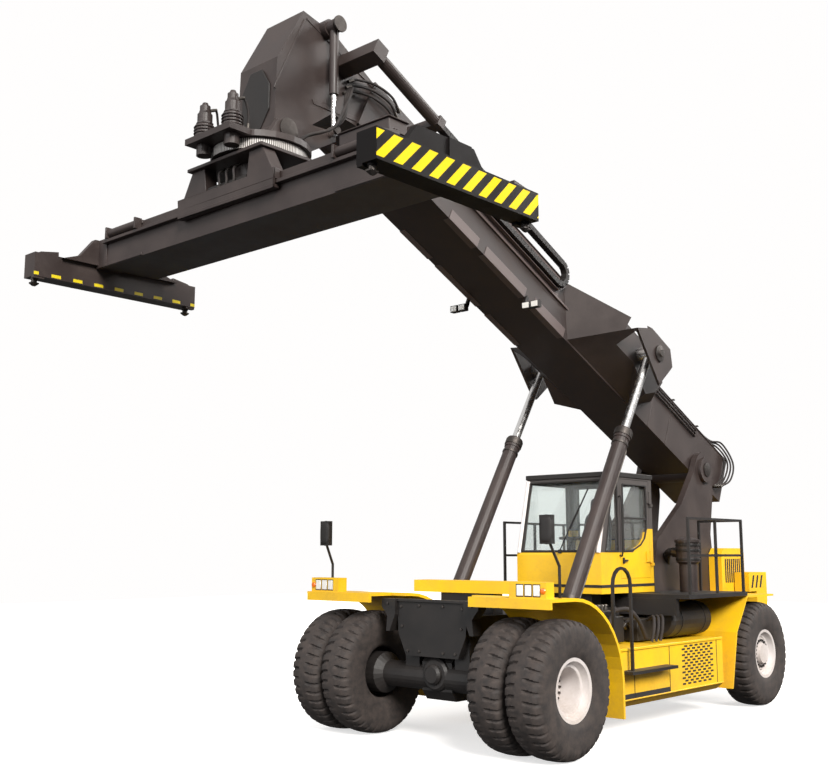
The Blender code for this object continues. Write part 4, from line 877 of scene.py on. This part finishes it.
base_z = (1.90, 1.94)
base_strip = [block((CAB_REAR - 0.005, CAB_FRONT + 0.005), around(s * 0.752, 0.006), base_z) for s in (-1, 1)]
base_strip.append(block(around(CAB_FRONT, 0.006), (-0.755, 0.755), base_z))
piece("cab_base_strip", joined(base_strip), SEAL, "chassis")
posts = [pipe([(screen_x(z) + 0.012, s * 0.71, z) for z in (2.40, 2.9, 3.50)], 0.032, 10, (0, 1, 0))
         for s in (-1, 1)]
piece("screen_posts", joined(posts), WHITE, "chassis")
arm = [(screen_x(z) + off, y, z)
       for off, y, z in ((0.04, 0.05, 2.42), (0.05, 0.20, 2.80), (0.04, 0.32, 3.10))]
blade = [(screen_x(z) + 0.028, y, z) for y, z in ((0.18, 2.75), (0.28, 3.0), (0.42, 3.35))]
wiper = [pipe(arm, 0.009, 8), pipe(blade, 0.011, 8),
         turned([(0, 0), (0.03, 0), (0.03, 0.05), (0, 0.055)], "X", (screen_x(2.42), 0.05, 2.42), 14)]
piece("screen_wiper", joined(wiper), SEAL, "chassis")
door_bar = block((-3.96, -3.29), (CAB_HALF - 0.004, CAB_HALF + 0.008), (2.90, 2.93))
piece("door_window_bar", door_bar, SEAL, "cab_door")
handle = [block((-3.36, -3.26), (CAB_HALF, CAB_HALF + 0.035), (2.27, 2.30)),
          block((-3.27, -3.24), (CAB_HALF, CAB_HALF + 0.03), (2.24, 2.33))]
piece("door_handle", joined(handle), SEAL, "cab_door", bevel=0.006)
grab = eased([(-3.17, CAB_HALF + off, z) for off, z in ((0, 2.36), (0.05, 2.39), (0.055, 2.8), (0.05, 3.2),
                                                        (0, 3.23))], 6)
piece("cab_grab_rail", pipe(grab, 0.012, 10, (1, 0, 0)), BLACK, "chassis")


# %% Seat pads, arm rests, console and dashboard
def pad(centre, size, lean=0.0, power=4.0):
    """Rounded box: each ring is |x|^n + |y|^n = 1, shrinking to both faces, its middle crowned by 12 mm."""
    level = np.linspace(-1, 1, 17)[:, None]
    angle = np.linspace(0, math.tau, 48, endpoint=False)[None]
    reach = np.maximum(1e-3, (1 - np.abs(level) ** power)) ** (1 / power)
    cosine, sine = np.cos(angle), np.sin(angle)
    flat = (np.abs(cosine) ** power + np.abs(sine) ** power) ** (-1 / power)
    x, y = reach * flat * cosine * size[0] / 2, reach * flat * sine * size[1] / 2
    crown = 0.012 * (1 - (2 * x / size[0]) ** 2) * (1 - (2 * y / size[1]) ** 2)
    z = level * (size[2] / 2 + crown - 0.012)
    turn_cos, turn_sin = math.cos(lean), math.sin(lean)
    grid = np.stack([x * turn_cos + z * turn_sin, y, -x * turn_sin + z * turn_cos], -1)
    return skin(grid + np.array(centre))


seat_pad = piece("seat_cushion", pad((-3.50, 0, 2.28), (0.54, 0.50, 0.15)), CLOTH, "chassis")
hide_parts("driver_seat")
upright = math.radians(-98)
back_pad = piece("seat_back", pad((-3.755, 0, 2.69), (0.70, 0.48, 0.14), upright), CLOTH, "chassis")
head_pad = piece("seat_headrest", pad((-3.83, 0, 3.15), (0.22, 0.30, 0.11), upright), CLOTH, "chassis")
mount = [block((-3.70, -3.30), (-0.19, 0.19), (1.895, 2.02)),
         block((-3.62, -3.38), (-0.14, 0.14), (2.0, 2.22)),
         block((-3.76, -3.22), (-0.22, 0.22), (2.20, 2.23))]
piece("seat_mount", joined(mount), BLACK, "chassis", bevel=0.01, slot="seat_cloth")
dash = slab([(-2.72, 1.95), (-2.90, 1.95), (-2.96, 2.30), (-2.76, 2.36)], "Y", -0.55, 0.55)
piece("dashboard", dash, BLACK, "chassis", bevel=0.012)


# %% [markdown]
# ## Chassis fittings
# Lamps, mirror glasses, painted shade for the side panel's slots and for the vents, bolts, and the valves and
# hoses beside the cab finish the lower half. Rows of equal things are made by one loop.

# %% Lamps, mirrors, mudguard lips and front plate
FENDER_TOP, ARCH_RADIUS = HUB_HEIGHT + 1.06, 1.04


def fender_fittings(side, word):
    z = (FENDER_TOP + 0.03, FENDER_TOP + 0.155)
    lamps = (1.56, 1.68, 1.80)
    lenses = [block((0.475, 0.487), (y, y + 0.09), z) for y in lamps]
    mirrored("head_lamps", lenses, side, LAMP, "chassis", bevel=0.006)
    round_lamp = turned([(0, 0.47), (0.038, 0.47), (0.038, 0.485), (0.03, 0.496), (0, 0.498)], "X",
                        (0, 1.937, z[0] + 0.06), 20)
    mirrored("turn_lamp", [round_lamp], side, AMBER, "chassis")
    surrounds = [block((0.470, 0.481), (y - 0.010, y + 0.100), (z[0] - 0.012, z[1] + 0.012)) for y in lamps]
    mirrored("lamp_surrounds", surrounds, side, SEAL, "chassis")
    glass = block((0.258, 0.269), (1.815, 1.955), (2.52, 2.82))
    mirrored("mirror_glass", [glass], side, MIRROR, "chassis", bevel=0.003)
    hood = pad((0.315, 1.885, 2.67), (0.08, 0.18, 0.35))
    mirrored("mirror_shell", [hood], side, BLACK, "chassis")
    arch = bend((0, HUB_HEIGHT), ARCH_RADIUS, 90, 180, 24)
    lip = np.concatenate([[(0.48, HUB_HEIGHT + ARCH_RADIUS)], arch, [(-ARCH_RADIUS, 0.395)]])
    lip = np.insert(lip, 1, 2.035, axis=1)
    mirrored("mudguard_lip", [pipe(lip, 0.014, 8)], side, YELLOW, "chassis")


both_sides(fender_fittings)
bolt_places = ((0.22, 0.52, 1.70), (0.22, 0.50, 1.45), (0.22, 0.40, 1.14), (0.22, 0.20, 1.72),
               (0.22, 0.20, 1.14), (0.28, 0.71, 1.74))
plate_bolts = [turned([(0, x - 0.005), (0.02, x - 0.005), (0.02, x + 0.017), (0, x + 0.019)], "X",
                      (0, s * y, z), 6) for s in (-1, 1) for x, y, z in bolt_places]
piece("front_plate_bolts", joined(plate_bolts), STEEL, "chassis")
plate_edge = block((0.215, 0.245), (-0.575, 0.575), (1.765, 1.795))
piece("front_plate_edge", plate_edge, BLACK, "chassis", bevel=0.004)


# %% Side panels, slots, vents, marks and the machinery beside the cab
def side_fittings(side, word):
    # Dark rubber marks for the slots in the side panel: painted shade, the dark inside each opening laid on
    # the surface.
    slots = []
    for row in range(14):
        for k in range(6):
            x, z = -3.36 - 0.155 * (k + 0.5 * (row % 2)), 0.56 + 0.04 * row
            slots.append(block((x - 0.09, x), (1.598, 1.603), around(z, 0.013)))
    mirrored("panel_slots", slots, side, SEAL, "chassis")
    seams = [block(around(x, 0.006), (1.597, 1.604), (0.50, 1.13)) for x in (-2.05, -3.00, -4.42)]
    seams.append(block((-3.00, -1.50), (1.597, 1.604), (0.495, 0.56)))
    mirrored("panel_seams", seams, side, SEAL, "chassis")
    frames = [block((-4.60, -1.45), (1.58, 1.615), (1.115, 1.15)),
              block((-4.60, -1.45), (1.585, 1.612), (0.475, 0.495))]
    mirrored("panel_edges", frames, side, YELLOW, "chassis", bevel=0.006)
    # Dark rubber bars for the hood vents: painted shade, the dark inside the vent openings laid on the
    # surface.
    vents = [block((-7.10 + 0.075 * k, -7.06 + 0.075 * k), (0.797, 0.805), (1.90, 2.30)) for k in range(9)]
    mirrored("hood_vents", vents, side, SEAL, "chassis")
    slant = np.array([(-6.90, 1.81), (-6.84, 1.81), (-6.92, 2.02), (-6.98, 2.02)])
    marks = [slab(slant - (0.16 * k, 0), "Y", 1.079, 1.083) for k in range(3)]
    mirrored("weight_marks", marks, side, SEAL, "chassis")
    valve = [block((-2.62, -2.10), (0.70, 1.12), (1.16, 1.52)),
             block((-2.56, -2.16), (0.74, 1.08), (1.50, 1.60)),
             block((-3.35, -2.85), (0.72, 1.20), (1.16, 1.46))]
    mirrored("valve_bank", valve, side, BLACK, "chassis", bevel=0.012)
    spools = [turned([(0, 1.58), (0.035, 1.58), (0.035, 1.66), (0.02, 1.68), (0, 1.68)], "Z",
                     (-2.22 - 0.09 * k, 0.90, 0), 12) for k in range(4)]
    mirrored("valve_spools", spools, side, ZINC, "chassis")
    elbow = [(-2.95, 1.28, 1.19), (-2.72, 1.30, 1.45), (-2.50, 1.26, 1.62), (-2.30, 1.12, 1.60)]
    struts = [pipe(eased(elbow), 0.030),
              pipe([(-1.62, 1.34, 1.17), (-1.92, 1.30, 1.42), (-2.20, 1.24, 1.65)], 0.026),
              pipe([(-1.66, 1.18, 1.17), (-2.02, 1.16, 1.36), (-2.38, 1.12, 1.54)], 0.020)]
    bow = np.array([(-3.10, 1.22, 1.45), (-3.02, 1.36, 1.50), (-2.92, 1.42, 1.34), (-2.88, 1.40, 1.165)])
    struts += [pipe(eased(bow - (0.12 * k, 0, 0)), 0.022) for k in range(3)]
    mirrored("chassis_pipes", struts, side, HOSE, "chassis")
    for k in range(4):
        y = (0.80 + 0.10 * k) * side
        hose(f"chassis_hose_{word}_{k}", [(-2.14, y, 1.34), (-1.98, y, 1.38),
                                          (-1.80, y + 0.06 * side, 1.22 + 0.02 * k),
                                          (-1.66, y + 0.02 * side, 1.17), (-1.50, y, 1.165)], "chassis", 0.02)
        hose(f"rear_hose_{word}_{k}", [(-2.60, y, 1.36), (-2.74, y, 1.44), (-2.80, y, 1.40),
                                       (-2.86, y, 1.33)], "chassis", 0.02)


both_sides(side_fittings)
cleaner = [turned([(0, z), (0.187, z), (0.191, z + 0.02), (0.187, z + 0.04), (0, z + 0.04)], "Z",
                  (-4.75, 1.02, 0), 28) for z in (2.28, 2.42, 2.50)]
piece("cleaner_bands", joined(cleaner), BLACK, "chassis")
straps = [disc(0.257, x, x + 0.05, "X", (0, 1.15, 1.42)) for x in (-4.55, -3.85)]
piece("muffler_straps", joined(straps), BLACK, "chassis")
hose("intake_hose", [(-4.75, 0.86, 2.40), (-4.75, 0.72, 2.42), (-4.85, 0.60, 2.36), (-5.0, 0.50, 2.22),
                     (-5.05, 0.46, 2.05)], "chassis", 0.06)

# %% [markdown]
# ## Studio
# A pale floor and background and three soft suns, a key from the front left, a weak fill and a rim light
# from behind, let the dark boom keep its form. The sky is full for straight sight and through glass, and
# dimmer as light. The camera stands low in front and to the left, as a person would, with a 46 mm lens.

# %% Floor, lights and camera
def flat_floor():
    """A level 80 m square sheet, just under the tyres."""
    side = np.array([(-40, -40), (40, -40), (40, 40), (-40, 40)], float)
    mesh = bpy.data.meshes.new("studio_floor")
    mesh.from_pydata(np.insert(side, 2, -0.002, axis=1).tolist(), [], [[0, 1, 2, 3]])
    made = bpy.data.objects.new("studio_floor", mesh)
    bpy.context.scene.collection.objects.link(made)
    pale = new_finish("pale_studio_floor", "black_paint", Roughness=0.9, Base_Color=linear("#E8E6E4"),
                      Emission_Strength=0.62, Emission_Color=linear("#FFFFFF"))[0]
    mesh.materials.append(pale)
    made.visible_diffuse = made.visible_glossy = False


def soft_sun(name, place, aim, spread_angle, strength, colour):
    """A distant lamp, so a raised boom gets the same light as the chassis; its angle softens the shadows."""
    data = bpy.data.lights.new(name, "SUN")
    data.angle, data.energy, data.color = spread_angle, strength, colour
    made = bpy.data.objects.new(name, data)
    made.location = place
    made.rotation_euler = (Vector(aim) - Vector(place)).to_track_quat("-Z", "Y").to_euler()
    bpy.context.scene.collection.objects.link(made)


flat_floor()
middle = (0.5, 0.0, 3.2)
soft_sun("key_light", (10, 16, 15), middle, 0.40, 5.2, (1.0, 0.97, 0.93))
soft_sun("front_fill", (20, -4, 7), middle, 0.50, 1.2, (0.96, 0.98, 1.0))
soft_sun("rear_rim", (-14, 6, 12), middle, 0.40, 1.6, (1.0, 0.98, 0.96))
world = bpy.data.worlds.new("pale_studio")
world.use_nodes = True
sky = world.node_tree.nodes["Background"]
sky.inputs["Color"].default_value = (1.0, 0.99, 0.985, 1.0)
tree = world.node_tree
path = add(tree, "ShaderNodeLightPath").outputs
seen = calc(tree, "MAXIMUM", path["Is Camera Ray"], path["Is Transmission Ray"])
heading = add(tree, "ShaderNodeTexCoord").outputs["Generated"]
height = add(tree, "ShaderNodeSeparateXYZ", {"Vector": heading}).outputs["Z"]
glow = spread(tree, height, 0.10, 0.62, -0.15, 0.45)
tree.links.new(calc(tree, "MAXIMUM", seen, glow), sky.inputs["Strength"])
bpy.context.scene.world = world
bpy.context.scene.view_settings.view_transform = "Standard"

FOCAL_LENGTH, EYE, LOOK = 46.39, (10.741 + AXLE[0], 9.198, 2.388), (-0.7339, -0.6623, 0.1511)
camera = bpy.data.objects.new("camera", bpy.data.cameras.new("camera"))
bpy.context.scene.collection.objects.link(camera)
camera.data.lens, camera.data.sensor_width, camera.data.clip_end = FOCAL_LENGTH, 36.0, 200
look = Vector(LOOK).normalized()
rightward = look.cross(Vector((0, 0, 1))).normalized()
upward = rightward.cross(look)
turn = Matrix((rightward, upward, -look)).transposed().to_4x4()
camera.matrix_world = Matrix.Translation(Vector(EYE)) @ turn
bpy.context.scene.camera = camera
